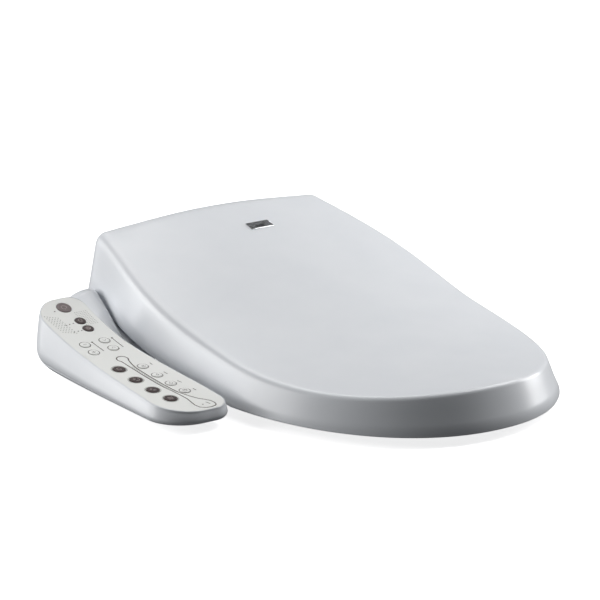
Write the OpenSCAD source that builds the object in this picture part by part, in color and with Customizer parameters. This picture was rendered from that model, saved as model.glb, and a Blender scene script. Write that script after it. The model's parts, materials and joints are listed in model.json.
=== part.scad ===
// Electric bidet seat: mounting plate, casing with washing and drying units,
// heated seat, soft-closing lid and a side arm with the control panel.
// +Z is up, the front of the seat is -Y, the user's right hand is -X.
// The origin is midway between the two fixing slots, on the mounting plate's underside.

/* [Lid] */
// Distance from the bolt line forward to the lid's front crease
front_reach = 452; // [430:1:545]
// Distance from the bolt line back to the lid's rear corners
rear_reach = 66; // [66:1:80]
// Width across the lid's crease where the front curve ends
lid_w = 344; // [286:1:414]
// Length of the lid's rounded front
nose_l = 244; // [203:1:290]
// Wall of the lid
lid_t = 3; // [2.5:0.1:3.6]
// How far the skirt leans out at the front
flare_front = 14.5; // [12:0.5:16]
// How far the skirt leans out at the rear
flare_rear = 11; // [10:0.5:13]
// Height of the skirt's lower edge at the front
skirt_z = 10; // [8:0.5:12]
// Height of the skirt's lower edge at the rear corners
skirt_rear_z = 60.5; // [60:0.5:66]
// Rounding of the lid's rear corners seen from above
corner_r = 14; // [12:0.5:16]

/* [Hinge] */
// Height of the hinge axis
hinge_z = 72; // [70:0.5:74]
// Distance of the hinge axis ahead of the lid's rear corners
hinge_back = 30; // [28:0.5:32]
// Radius of the hinge shafts
shaft_r = 5; // [4:0.1:6]
// Running clearance between a shaft and its bush
run_gap = 0.05; // [0.03:0.01:0.08]
// Wall of a hinge bush
bush_t = 1.5; // [1:0.1:2]

/* [Casing] */
// Wall of the casing
wall = 3; // [2.5:0.1:3.5]
// Casing front face ahead of the bolt line
case_front = 62; // [58:1:66]
// Height where the tray meets the upper casing
split_z = 28; // [26:1:30]
// Half width of the nozzle apron
apron_hw = 100; // [96:1:112]
// Front of the nozzle apron ahead of the bolt line
apron_front = 98; // [94:1:99]

/* [Seat] */
// Length of the seat opening
hole_l = 284; // [236:1:300]
// Width of the seat opening
hole_w = 224; // [186:1:240]
// Height of the seat's upper face
seat_z = 37; // [35:0.5:38]
// Height of the rubber bumpers under the seat
bumper_h = 6; // [5:0.5:7]

/* [Mounting plate] */
// Distance between the two fixing slots
slot_pitch = 140; // [134:1:168]
// Width of a fixing slot
slot_w = 8.5; // [7:0.1:10.4]
// End to end length of a fixing slot
slot_l = 30; // [25:1:36]
// Thickness of the plate
plate_t = 4; // [3.5:0.1:4.5]
// Width of the plate between its upright edges
plate_w = 200; // [190:1:206]

/* [Nozzles] */
// Radius of a nozzle wand
wand_r = 5.5; // [4.5:0.1:6.6]
// Length of a wand
wand_l = 142; // [138:1:144]
// Slope of the wands
wand_tilt = 20; // [18:0.5:22]
// Distance of each wand from the middle
wand_x = 10; // [10:0.5:12]

/* [Control arm] */
// Gap between the lid's skirt and the arm
arm_gap = 9; // [8:0.5:12]
// Width of the arm at its widest
arm_w = 83; // [78:1:98]
// Length of the arm
arm_l = 275; // [260:1:290]
// Height of the arm's underside
arm_z = 10; // [8:0.5:12]
// Thickness of the panel film and its carrier
panel_t = 1.6; // [1.2:0.1:2]
// Travel of a button
press = 0.8; // [0.6:0.1:1]
// Radius of a large wash button
wash_r = 6.6; // [5.5:0.1:7.9]

/* [Water] */
// Outside radius of the inlet thread
inlet_r = 10.4; // [8.7:0.1:12.5]
// Length of the inlet thread
thread_l = 14; // [12:0.5:16]
// Radius of the cable gland's hole
gland_r = 3.6; // [3:0.1:4.3]

/* [Hidden] */
$fn = 48;
eps = 0.01;

white = "#f4f5f6";
panel_grey = "#e6e6e2";
brown = "#4a3a38";

// Curves shared by the shells
function bez(c, u) = len(c) == 1 ? c[0]
    : bez([for (i = [0:len(c) - 2]) c[i] * (1 - u) + c[i + 1] * u], u);
function mix(a, b, u) = a + (b - a) * u;
function clamp01(u) = min(max(u, 0), 1);
function sgn_pow(v, p) = sign(v) * pow(abs(v), p);
function unit(v) = v / norm(v);

// One rounded corner of a polygon whose points are [x, y, radius]
function fillet(p, q, s, n) = let (
    a = unit([p.x - q.x, p.y - q.y]),
    b = unit([s.x - q.x, s.y - q.y]),
    half = acos(a * b) / 2,
    c = [q.x, q.y] + unit(a + b) * q.z / sin(half),
    start = [q.x, q.y] + a * q.z / tan(half) - c,
    turn = (a.x * b.y - a.y * b.x > 0 ? -1 : 1) * (180 - 2 * half)
) [for (i = [0:n]) let (t = turn * i / n)
    c + [start.x * cos(t) - start.y * sin(t), start.x * sin(t) + start.y * cos(t)]];
function rounded(pts, n = 8) = let (m = len(pts)) [for (i = [0:m - 1])
    each fillet(pts[(i + m - 1) % m], pts[i], pts[(i + 1) % m], n)];

// Extrudes a profile drawn as [y, z] along X
module along_x(x0, x1) {
    translate([x0, 0, 0]) rotate([90, 0, 90]) linear_extrude(x1 - x0) children();
}

// A shell skinned over loops with equal point counts; a ring joins its last loop to its first
module loft(loops, ring = false) {
    n = len(loops[0]);
    m = len(loops);
    last = ring ? m - 1 : m - 2;
    sides = [for (k = [0:last], i = [0:n - 1]) let (a = k * n, b = ((k + 1) % m) * n, j = (i + 1) % n)
        each [[a + i, b + i, b + j], [a + i, b + j, a + j]]];
    caps = ring ? [] : [[for (i = [0:n - 1]) i], [for (i = [n - 1:-1:0]) (m - 1) * n + i]];
    polyhedron([for (l = loops) each l], concat(sides, caps));
}

// ---- Lid ----
lid_l = front_reach + rear_reach;
lid_hw = lid_w / 2;
nose_t = nose_l / lid_l;
nose_n = 2.13;
crown_front = 6;
crown_rear = 8.7;
rear_bow = 6;
lip_z = 105;
edge_front = 4;
edge_rear = 13;
WAIST = [1, 1, 1.105, 0.907, 0.863];
CREASE_Z = [52.5, 37.4, 34.9, 101.7, 125.7];
hinge_y = rear_reach - hinge_back;
rear_hw = lid_hw * WAIST[4];

function along(y) = clamp01((y + front_reach) / lid_l);
function lid_half(t) = lid_hw * (t < nose_t
    ? pow(1 - pow(1 - t / nose_t, nose_n), 1 / nose_n)
    : bez(WAIST, (t - nose_t) / (1 - nose_t)));
function crease_z(y) = bez(CREASE_Z, along(y));
function crown(y) = mix(crown_front, crown_rear, along(y));
function top_z(p) = let (w = max(lid_half(along(p.y)), 1))
    crease_z(p.y) + crown(p.y) * min(w / lid_hw, 1) * (1 - pow(min(abs(p.x) / w, 1), 2));
function skirt_at(y, z) = lid_half(along(y)) + mix(flare_front, flare_rear, along(y))
    * (crease_z(y) - z) / (crease_z(y) - skirt_low(y));
function skirt_low(y) = skirt_z + (skirt_rear_z - skirt_z) * pow(max(along(y) - 0.4, 0) / 0.6, 1.13);

SIDE_N = 20;
side_pts = [for (i = [0:SIDE_N]) let (s = (lid_l - corner_r) * (1 - cos(90 * i / SIDE_N)))
    [lid_half(s / lid_l), s - front_reach]];
corner_x = side_pts[SIDE_N].x - corner_r;
corner_pts = [for (a = [18:18:90])
    [corner_x + corner_r * cos(a), rear_reach - corner_r + corner_r * sin(a)]];
rear_pts = [for (u = [0.75, 0.5, 0.25, 0]) [corner_x * u, rear_reach + rear_bow * (1 - u * u)]];
half_pts = concat(side_pts, corner_pts, rear_pts);
mirror_pts = [for (i = [len(half_pts) - 2:-1:1]) [-half_pts[i].x, half_pts[i].y]];
OUTLINE = concat(half_pts, mirror_pts);
OUT_N = len(OUTLINE);
NORMALS = [for (i = [0:OUT_N - 1]) let (d = OUTLINE[(i + 1) % OUT_N] - OUTLINE[(i + OUT_N - 1) % OUT_N])
    unit([d.y, -d.x])];
SIDEWAYS = [for (i = [0:OUT_N - 1]) OUTLINE[i].y > 0 ? clamp01((abs(NORMALS[i].x) - 0.6) * 5) : 1];
function flare(i) = mix(flare_front, flare_rear, along(OUTLINE[i].y)) * SIDEWAYS[i];
function low_z(i) = mix(lip_z, skirt_low(OUTLINE[i].y), SIDEWAYS[i]);
function edge_r(i) = mix(edge_front, edge_rear, along(OUTLINE[i].y));
function pushed(i, d) = OUTLINE[i] + NORMALS[i] * d;
function at(p, z) = [p.x, p.y, z];
lid_mid = [0, lid_l / 2 - front_reach];

function skirt_loop(d) = [for (i = [0:OUT_N - 1]) at(pushed(i, flare(i) + d), low_z(i))];
function bend_loop(d) = [for (i = [0:OUT_N - 1]) let (r = edge_r(i), z = crease_z(OUTLINE[i].y) - r)
    at(pushed(i, flare(i) * r / (z + r - low_z(i)) + d), z)];
function edge_loop() = [for (i = [0:OUT_N - 1]) let (r = edge_r(i))
    at(pushed(i, -0.25 * r), crease_z(OUTLINE[i].y) - 0.25 * r)];
function top_loop(f, drop) = [for (i = [0:OUT_N - 1])
    let (p = lid_mid + (pushed(i, -edge_r(i)) - lid_mid) * f) at(p, top_z(p) - drop)];

module lid_shell() {
    fractions = [1, 0.8, 0.6, 0.4, 0.2, 0.02];
    color(white) loft(concat(
        [for (i = [5:-1:0]) top_loop(fractions[i], lid_t)],
        [bend_loop(-lid_t), skirt_loop(-lid_t), skirt_loop(0), bend_loop(0), edge_loop()],
        [for (f = fractions) top_loop(f, 0)]
    ));
    for (s = [-1, 1]) color(white) lid_boss(s);
}

badge = [30, 14, 1];
badge_y = 0;

module lid_badge() {
    slope = atan((crease_z(badge_y + 5) - crease_z(badge_y - 5)) / 10);
    color("silver")
        translate([28, badge_y, top_z([28, badge_y]) + 0.4])
        rotate([slope, 0, 0])
        translate([0, 0, badge.z / 2])
        cube(badge, center = true);
}

// ---- Hinge line: casing wall, seat ears, lid bosses ----
case_hw = rear_hw - lid_t - 5.5;
ear_in = case_hw + 3.5;
ear_t = 6.5;
boss_in = ear_in + ear_t + 1.5;
boss_t = 5;
flank_in = boss_in;
flank_out = boss_in + 13.5;
boss_r = 11;
bush_r = shaft_r + run_gap + bush_t;
scoop_r = 37;

module on_hinge(x0, x1, r) {
    translate([x0, hinge_y, hinge_z]) rotate([0, 90, 0]) cylinder(r = r, h = x1 - x0);
}

module side_span(s, x0, x1, r) {
    on_hinge(min(s * x0, s * x1), max(s * x0, s * x1), r);
}

module lid_boss(s) {
    difference() {
        side_span(s, boss_in, skirt_at(hinge_y, hinge_z + boss_r) - 0.6, boss_r);
        side_span(s, boss_in - 1, boss_in + boss_t, bush_r);
    }
}

module bushes(x0, x1) {
    for (s = [-1, 1]) color("gainsboro") difference() {
        side_span(s, x0, x1, bush_r);
        side_span(s, x0 - 1, x1 + 1, shaft_r + run_gap);
    }
}

module lid_bushes() {
    bushes(boss_in, boss_in + boss_t);
}

module seat_bushes() {
    bushes(ear_in, ear_in + ear_t);
}

module damper(s) {
    color("dimgray") union() {
        side_span(s, case_hw - 50, case_hw - wall - 1, 11);
        side_span(s, case_hw - wall - 1.5, boss_in + boss_t, shaft_r);
    }
}

module seat_damper() {
    damper(-1);
}

module lid_damper() {
    damper(1);
}

// ---- Seat ----
seat_hw = lid_hw + 1;
seat_mid = nose_l - front_reach;
seat_nose = nose_l + 2;
seat_back = -case_front - 2;
seat_square = 5;
hole_front = hole_l + 68 - front_reach;
hole_mid = hole_front - hole_l / 2;
hole_n = 2.3;
bridge_z = 29;
seat_wall = 3;
SEAT_N = 64;
function seat_outer(a) = [
    seat_hw * sgn_pow(cos(a), 2 / (sin(a) < 0 ? nose_n : seat_square)),
    seat_mid + (sin(a) < 0 ? seat_nose : seat_back - seat_mid)
        * sgn_pow(sin(a), 2 / (sin(a) < 0 ? nose_n : seat_square))];
function seat_inner(a) = [
    hole_w / 2 * sgn_pow(cos(a), 2 / hole_n),
    hole_mid + hole_l / 2 * sgn_pow(sin(a), 2 / hole_n)];
function seat_low(p) = mix(bumper_h + 2, bridge_z,
    clamp01((p.y - hole_front + 22) / 14) * clamp01((apron_hw + 18 - abs(p.x)) / 10));
function seat_loop(u, z) = [for (i = [0:SEAT_N - 1])
    let (a = i * 360 / SEAT_N, p = seat_outer(a) * (1 - u) + seat_inner(a) * u)
    at(p, is_undef(z) ? seat_low(p) : z)];

module seat_upper_shell() {
    top = seat_z;
    color(white) difference() {
        loft([
            seat_loop(0), seat_loop(0, top - 7), seat_loop(0.04, top - 2), seat_loop(0.14, top),
            seat_loop(0.45, top), seat_loop(0.75, top - 1.5), seat_loop(0.94, top - 4),
            seat_loop(1, top - 6.5), seat_loop(1), seat_loop(0.95), seat_loop(0.93, top - 7.2),
            seat_loop(0.45, top - seat_wall), seat_loop(0.08, top - 7.2), seat_loop(0.05)
        ], ring = true);
        for (s = [-1, 1]) translate([s * (ear_in + ear_t / 2) - ear_t / 2 - 0.1, ear_foot - 0.1, 0])
            cube([ear_t + 0.2, seat_back - ear_foot + 10, seat_z - 9.9]);
    }
}

function seat_edge(u) = [for (i = [0:SEAT_N - 1]) let (a = i * 360 / SEAT_N)
    seat_outer(a) * (1 - u) + seat_inner(a) * u];

module seat_ring(u0, u1, z0, z1) {
    translate([0, 0, z0]) linear_extrude(z1 - z0) difference() {
        polygon(seat_edge(u0));
        polygon(seat_edge(u1));
    }
}

ear_foot = seat_back - 56;
EAR = [
    [ear_foot, bumper_h + 2], [seat_back - 4, bumper_h + 2], [hinge_y + 8, hinge_z - 9],
    [hinge_y - 4, hinge_z + 11], [seat_back + 8, seat_z + 2], [seat_back - 10, seat_z - 10],
    [ear_foot, seat_z - 10]];

module seat_lower_shell() {
    z0 = bumper_h + 2;
    color(white) difference() {
        union() {
            difference() {
                seat_ring(0.06, 0.94, z0, z0 + 3);
                translate([-apron_hw - 20, hole_front - 24, 0]) cube([2 * apron_hw + 40, 24 - hole_front, 60]);
            }
            for (s = [-1, 1]) {
                x0 = s > 0 ? ear_in : -ear_in - ear_t;
                along_x(x0, x0 + ear_t) polygon(EAR);
                side_span(s, ear_in, ear_in + ear_t, boss_r);
            }
        }
        for (s = [-1, 1]) side_span(s, ear_in - 1, ear_in + ear_t + 1, bush_r);
    }
}

module seat_heater() {
    color("sienna") difference() {
        seat_ring(0.2, 0.8, seat_z - 8.2, seat_z - 7.7);
        translate([-apron_hw, hole_front - 10, 0]) cube([2 * apron_hw, 10 - hole_front, 60]);
    }
}

BUMPERS = [for (a = [200, 250, 290, 340]) let (p = seat_outer(a) * 0.5 + seat_inner(a) * 0.5) p];

module seat_bumpers() {
    for (p = BUMPERS) color("whitesmoke")
        translate([p.x, p.y, 0]) cylinder(r = 7, h = bumper_h + 2);
}

// How much the lid's inner face drops across a bumper
bumper_slope = 0.6;

module lid_bumpers() {
    for (a = [225, 315]) {
        p = seat_outer(a) * 0.5 + seat_inner(a) * 0.5;
        color("whitesmoke") translate([p.x, p.y, seat_z + 0.2])
            cylinder(r = 5, h = top_z(p) - lid_t - seat_z - 0.2 - bumper_slope);
    }
}

// ---- Casing: tray and upper casing share one outside and one inside ----
case_rear = rear_reach - 6;
case_top = 110;
front_top = 80;
tray_z = plate_t;
apron_top = 22;
apron_back = 28;
flank_front = 28;
flank_top = 36;
CASE_SIDE = [
    [-case_front, tray_z, 3], [case_rear, tray_z, 3], [case_rear, case_top, 16],
    [hinge_y, case_top - 2, 20], [-case_front, front_top, 14]];
APRON_SIDE = [
    [-apron_front, tray_z, 2], [-case_front + 10, tray_z, 2], [-case_front + 10, apron_back, 2],
    [-case_front, apron_back, 3], [-apron_front, apron_top, 4]];
FLANK_SIDE = [
    [-flank_front, tray_z, 2], [case_rear, tray_z, 2], [case_rear, flank_top, 8],
    [0, flank_top - 2, 12], [-flank_front, split_z - 7, 4]];
function inset(pts, d) = let (
    cx = (min([for (p = pts) p.x]) + max([for (p = pts) p.x])) / 2,
    cy = (min([for (p = pts) p.y]) + max([for (p = pts) p.y])) / 2
) [for (p = pts) [p.x + (p.x > cx ? -d : d), p.y + (p.y > cy ? -d : d), max(p.z - d, 0.5)]];

module casing_solid(d) {
    intersection() {
        along_x(d - case_hw, case_hw - d) polygon(rounded(inset(CASE_SIDE, d)));
        linear_extrude(case_top) polygon(rounded([
            [d - case_hw, d - case_front, 6], [case_hw - d, d - case_front, 6],
            [case_hw - d, case_rear - d, 10], [d - case_hw, case_rear - d, 10]]));
    }
    along_x(d - apron_hw, apron_hw - d) polygon(rounded(inset(APRON_SIDE, d)));
    along_x(case_hw - 8, flank_out - d) polygon(rounded(inset(FLANK_SIDE, d)));
    intersection() {
        along_x(d - flank_in, 8 - case_hw) polygon(rounded(inset(FLANK_SIDE, d)));
        translate([-flank_in, 0, 0]) cube([flank_in, case_rear, case_top]);
    }
}

module ear_slots() {
    for (s = [-1, 1]) translate([s * (ear_in + ear_t / 2) - 5, -case_front - 1, split_z - 6])
        cube([10, case_front + 1, 40]);
}

// The plate's tunnel under the tray
rail = 5;
tunnel_hw = plate_w / 2 + rail + 3;
tunnel_front = 34;
tunnel_top = 16;

module casing_shell() {
    difference() {
        casing_solid(0);
        casing_solid(wall);
    }
}

filter_x = -80;
filter_w = 40;
filter_z = 21;
filter_h = 14;
filter_gap = 0.5;
flap_x = 62;
flap_w = 30;
intake_x = -80;
MOUTH = [0, -apron_front + 2, 7];

// A frame on wand s (-1 or 1) whose +Z runs down its axis, +Y is up from it and
// +X is away from the middle; z = 0 at the mouth
module on_wand(s) {
    mirror([s < 0 ? 1 : 0, 0, 0])
        translate([wand_x, MOUTH.y, MOUTH.z])
        rotate([90 + wand_tilt, 0, 0])
        children();
}

tooth = 1;
pinion_teeth = 14;
rack_w = 5;
rack_pitch = wand_r + 1.5;
rack_top = rack_pitch + tooth;
pinion_pitch = tooth * pinion_teeth / 2;
pinion_s = 56;

module keyhole(gap, s0, s1) {
    translate([0, 0, -s1]) cylinder(r = wand_r + gap, h = s1 - s0);
    translate([0, -rack_w / 2 - gap, -s1]) cube([rack_top + gap, rack_w + 2 * gap, s1 - s0]);
}

module base_tray() {
    color(white) difference() {
        union() {
            intersection() {
                casing_shell();
                translate([-300, -200, 0]) cube([600, 400, split_z]);
            }
            translate([-tunnel_hw - 2.5, -tunnel_front - 2.5, tray_z])
                cube([2 * tunnel_hw + 5, tunnel_front + 2.5 + case_rear, tunnel_top + 2.5 - tray_z]);
            for (p = SCREWS) translate([p.x, p.y, tray_z]) cylinder(r = screw_r + boss_wall, h = split_z - tray_z);
        }
        translate([flap_x - flap_w / 2 - 6, flap_y, flap_z]) rotate([0, 90, 0])
            cylinder(r = flap_pin + run_gap, h = flap_w + 12);
        translate([-tunnel_hw, -tunnel_front, 0])
            cube([2 * tunnel_hw, tunnel_front + case_rear + 1, tunnel_top]);
        for (s = [-1, 1]) on_wand(s) keyhole(1, -20, 50);
        translate([flap_x - flap_w / 2, -apron_front - 1, 8]) cube([flap_w, wall + 2, 10]);
        for (i = [0:3]) translate([intake_x - 16 + i * 9, -apron_front - 1, 9])
            cube([5, wall + 2, 9]);
        translate([filter_x - filter_w / 2 - filter_gap, case_rear - wall - 1, filter_z - filter_gap])
            cube([filter_w + 2 * filter_gap, wall + 2, 30]);
        for (p = SCREWS) translate([p.x, p.y, 0]) cylinder(r = screw_r + 0.2, h = split_z + 1);
        for (p = SCREWS) translate([p.x, p.y, 0]) cylinder(r = 4.2, h = tray_z + 4);
        translate([gland_x, case_rear + 1, gland_z]) rotate([90, 0, 0]) cylinder(r = gland_r + 3, h = wall + 2);
        translate([0, inlet_y, inlet_z]) rotate([0, 90, 0]) cylinder(r = inlet_r + 1, h = flank_out + 1);
        translate([0, plug_y, inlet_z]) rotate([0, 90, 0]) cylinder(r = plug_r + 0.4, h = flank_out + 1);
        translate([-release_w / 2 - 0.4, case_rear - wall - 1, tunnel_top - 1])
            cube([release_w + 0.8, wall + 2, 30]);
        translate([-release_w / 2 - 0.4, plate_rear - 9, tunnel_top - 1])
            cube([release_w + 0.8, case_rear - plate_rear + 9, 8]);
        ear_slots();
    }
    color(white) for (s = [0, 1]) mirror([s, 0, 0])
        translate([plate_w / 2 + 1, -tunnel_front, tray_z])
        cube([tunnel_hw - plate_w / 2 - 1 + eps, tunnel_front + case_rear - 2, 1.7]);
}

module upper_casing() {
    color(white) difference() {
        union() {
            intersection() {
                casing_shell();
                translate([-300, -200, split_z]) cube([600, 400, case_top]);
            }
            for (p = SCREWS) translate([p.x, p.y, split_z]) cylinder(r = screw_r + boss_wall, h = 14);
        }
        on_hinge(-case_hw - 1, case_hw + 1, shaft_r + 0.2);
        translate([0, inlet_y, inlet_z]) rotate([0, 90, 0]) cylinder(r = inlet_r + 1, h = flank_out + 1);
        for (p = SCREWS) translate([p.x, p.y, split_z - 1]) cylinder(r = screw_r, h = 11);
        translate([filter_x - filter_w / 2 - filter_gap, case_rear - wall - 1, filter_z - filter_gap])
            cube([filter_w + 2 * filter_gap, wall + 2, filter_h + 2 * filter_gap]);
        translate([-release_w / 2 - 0.4, case_rear - wall - 1, tunnel_top - 1])
            cube([release_w + 0.8, wall + 2, release_top - tunnel_top + 1 + release_travel + 1]);
        ear_slots();
        for (s = [-1, 1]) side_span(s, case_hw + 0.5, flank_out + 3, scoop_r);
    }
}

screw_r = 2;
boss_wall = 3;
SCREWS = [for (x = [-1, 1] * (case_hw - wall - screw_r - boss_wall + 0.5), y = [12 - case_front, case_rear - 16]) [x, y]];

module casing_screws() {
    for (p = SCREWS) color("silver") translate([p.x, p.y, tray_z]) {
        cylinder(r = 4, h = 4);
        cylinder(r = screw_r, h = split_z - tray_z + 9);
    }
}

module rubber_feet() {
    for (x = [16 - case_hw, case_hw - 16], y = [-case_front + 26, case_rear - 26])
        color("dimgray") translate([x, y, 0]) cylinder(r = 7, h = tray_z);
}

// ---- Mounting plate and its catch ----
plate_rear = 54;

module mounting_plate() {
    hw = plate_w / 2;
    depth = tunnel_front + plate_rear - 4;
    color("whitesmoke") difference() {
        union() {
            translate([-hw, 4 - tunnel_front, 0]) cube([2 * hw, depth, plate_t]);
            for (s = [0, 1]) mirror([s, 0, 0]) {
                translate([hw - 4, 4 - tunnel_front, 0]) cube([4, depth, plate_t + 6]);
                translate([hw - 4, 4 - tunnel_front, plate_t + 2.2]) cube([rail + 4, depth, 3.8]);
            }
        }
        for (s = [-1, 1]) translate([s * slot_pitch / 2, 0, -1]) {
            for (e = [-1, 1]) translate([e * (slot_l - slot_w) / 2, 0, 0])
                cylinder(d = slot_w, h = plate_t + 2);
            translate([(slot_w - slot_l) / 2, -slot_w / 2, 0]) cube([slot_l - slot_w, slot_w, plate_t + 2]);
        }
        translate([-release_w / 2, plate_rear - 9, 1.5]) cube([release_w, 6, plate_t]);
    }
}

release_w = 24;
release_travel = 4;
release_top = 38;

module release_button() {
    color(panel_grey) {
        translate([-release_w / 2, case_rear - 3, tunnel_top + 1])
            cube([release_w, 4, release_top - tunnel_top - 1]);
        translate([-release_w / 2 + 2, plate_rear - 8, tunnel_top - 5.5])
            cube([release_w - 4, case_rear - plate_rear + 6, 4]);
        translate([-release_w / 2 + 2, case_rear - 3, tunnel_top - 5.5]) cube([release_w - 4, 3, 8]);
        translate([-release_w / 2 + 2, plate_rear - 8, plate_t + 0.5])
            cube([release_w - 4, 4, tunnel_top - 5.5 - plate_t]);
    }
}

// ---- Washing unit ----
module rack_teeth(s0, s1) {
    pitch = PI * tooth;
    half = 0.22 * pitch;
    low = rack_pitch - 1.2 * tooth;
    high = rack_pitch + 0.9 * tooth;
    count = floor((s1 - s0) / pitch);
    first = pinion_s - pitch * round((pinion_s - s0) / pitch) + pitch / 2;
    translate([0, rack_w / 2, 0]) rotate([90, 0, 0]) linear_extrude(rack_w)
        for (i = [0:count - 1]) let (c = -first - i * pitch)
        polygon([[low, c - half - 0.44], [high, c - half + 0.33],
            [high, c + half - 0.33], [low, c + half + 0.44]]);
}

module wand(s) {
    on_wand(s) {
        difference() {
            union() {
                translate([0, 0, -wand_l]) cylinder(r = wand_r, h = wand_l - tip_l);
                translate([0, -rack_w / 2, -wand_l])
                    cube([rack_pitch - 1.2 * tooth + eps, rack_w, wand_l - pinion_s + 4]);
            }
            translate([0, 0, -wand_l - 1]) cylinder(r = 2, h = wand_l);
        }
        rack_teeth(pinion_s - 3, wand_l);
    }
}

tip_l = 12;
tip_cone = 3;

module wand_tip(s) {
    on_wand(s) difference() {
        union() {
            translate([0, 0, -tip_l]) cylinder(r = wand_r, h = tip_l - tip_cone);
            translate([0, 0, -tip_cone]) cylinder(r1 = wand_r, r2 = wand_r - 2.4, h = tip_cone);
        }
        for (z = [-9, -7, -5]) translate([0, 0, z]) rotate([-90, 0, 0]) cylinder(r = 0.6, h = 10);
    }
}

module nozzle_wand_rear() {
    color("gainsboro") wand(-1);
}

module nozzle_wand_front() {
    color("gainsboro") wand(1);
}

module nozzle_tip_rear() {
    color("silver") wand_tip(-1);
}

module nozzle_tip_front() {
    color("silver") wand_tip(1);
}

module on_pinion(s) {
    on_wand(s) translate([rack_pitch + pinion_pitch, 0, -pinion_s]) rotate([-90, 0, 0]) children();
}

motor_shaft = 2;
pinion_w = 5;

module pinion(s) {
    r = pinion_pitch;
    color("ivory") on_pinion(s) translate([0, 0, -pinion_w / 2]) difference() {
        union() {
            cylinder(r = r - 1.15 * tooth, h = pinion_w);
            for (i = [0:pinion_teeth - 1]) rotate([0, 0, (i + 1) * 360 / pinion_teeth])
                linear_extrude(pinion_w) polygon([
                    [r - 3 * tooth, -1 * tooth], [r - 1.2 * tooth, -0.92 * tooth],
                    [r, -0.66 * tooth], [r + 0.85 * tooth, -0.24 * tooth],
                    [r + 0.85 * tooth, 0.24 * tooth], [r, 0.66 * tooth],
                    [r - 1.2 * tooth, 0.92 * tooth], [r - 3 * tooth, 1 * tooth]]);
        }
        translate([0, 0, -1]) cylinder(r = motor_shaft + run_gap, h = pinion_w + 2);
    }
}

module pinion_rear() {
    pinion(-1);
}

module pinion_front() {
    pinion(1);
}

module nozzle_motors() {
    for (s = [-1, 1]) color("silver") on_pinion(s) {
        translate([0, 0, pinion_w / 2 + 1]) cylinder(r = 8.5, h = 10.5);
        translate([0, 0, -pinion_w / 2]) cylinder(r = motor_shaft, h = pinion_w + 2);
    }
}

// A full ring holds the wands at the front; a trough carries them behind it
module nozzle_guide() {
    low = -wand_r - 3;
    hw = wand_x + 9;
    color("gainsboro") difference() {
        on_wand(1) translate([-wand_x, 0, 0]) {
            translate([-hw, low, -15]) cube([2 * hw, wand_r + 2 - low, 10]);
            translate([-hw, low, -104]) cube([2 * hw, -rack_w / 2 - 0.1 - low, 90]);
            translate([-3, low, -104]) cube([6, 2.5 - low, 90]);
        }
        for (s = [-1, 1]) on_wand(s) keyhole(run_gap, 0, 120);
        translate([-60, -200, 0]) cube([120, 400, tray_z + wall]);
    }
}

module diverter_valve() {
    color("lightgray") translate([0, 4, 74]) {
        cube([30, 36, 18], center = true);
        translate([0, 0, 9]) cylinder(r = 9, h = 8);
        for (x = [-8, 8]) translate([x, 18, -2]) rotate([-90, 0, 0]) cylinder(r = 3, h = 7);
    }
}

// ---- Water path ----
inlet_y = 18;
inlet_z = 17;
plug_y = 41;
plug_r = 6;
HEATER = [[34, -26, 52], [54, 58, 30]];
VALVE_X = case_hw - wall - 25;

module water_inlet() {
    color("silver") difference() {
        union() {
            translate([flank_out - wall - 22, inlet_y - 13, tray_z + wall])
                cube([20, plug_y - inlet_y + 22, 21]);
            translate([flank_out - 8, inlet_y, inlet_z]) rotate([0, 90, 0]) {
                cylinder(r = inlet_r + 0.6, h = 8.2);
                cylinder(r = inlet_r - 1.4, h = 9.5);
                translate([0, 0, 9]) cylinder(r = inlet_r, h = thread_l);
            }
            translate([VALVE_X + 22, inlet_y, inlet_z]) rotate([0, 90, 0])
                cylinder(r = 6, h = flank_out - wall - 20 - VALVE_X - 22);
        }
        translate([flank_out - 18, inlet_y, inlet_z]) rotate([0, 90, 0]) cylinder(r = 6, h = 40);
        translate([flank_out - 22, plug_y, inlet_z]) rotate([0, 90, 0])
            cylinder(r = plug_r + run_gap, h = 30);
    }
}

module inlet_filter() {
    color(panel_grey) translate([flank_out - 22, plug_y, inlet_z]) rotate([0, 90, 0]) {
        cylinder(r = plug_r, h = 24);
        translate([0, 0, 22.5]) cylinder(r = plug_r + 2.5, h = 4);
    }
}

module solenoid_valve() {
    color("lightsteelblue") translate([VALVE_X, inlet_y - 14, inlet_z - 8]) {
        cube([22, 28, 18]);
        translate([11, 14, 18]) cylinder(r = 9, h = 14);
    }
}

module water_heater() {
    color("gainsboro") {
        translate(HEATER[0]) cube(HEATER[1]);
        for (x = [12, 42]) translate([HEATER[0].x + x, HEATER[0].y + HEATER[1].y, HEATER[0].z + 12])
            rotate([-90, 0, 0]) cylinder(r = 3, h = 8);
    }
}

// A hose swept along a path whose corners are rounded over a distance d
function turns(pts, d, n) = concat([pts[0]],
    [for (i = [1:len(pts) - 2]) let (a = unit(pts[i - 1] - pts[i]) * d, b = unit(pts[i + 1] - pts[i]) * d)
        for (k = [0:n]) let (u = k / n) pts[i] + a * (1 - u) * (1 - u) + b * u * u],
    [pts[len(pts) - 1]]);
function carried(side, along, i = 0) = let (s = unit(side - along[i] * (side * along[i])))
    i == len(along) - 1 ? [s] : concat([s], carried(s, along, i + 1));

hose_r = 3;

module hose(pts, r) {
    path = turns(pts, 6, 4);
    last = len(path) - 1;
    along = [for (i = [0:last]) unit(path[min(i + 1, last)] - path[max(i - 1, 0)])];
    sides = carried([0.3, 0.2, 0.9], along);
    loft([for (i = [0:last]) [for (a = [0:30:330])
        path[i] + r * (sides[i] * cos(a) + cross(along[i], sides[i]) * sin(a))]]);
}

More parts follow.
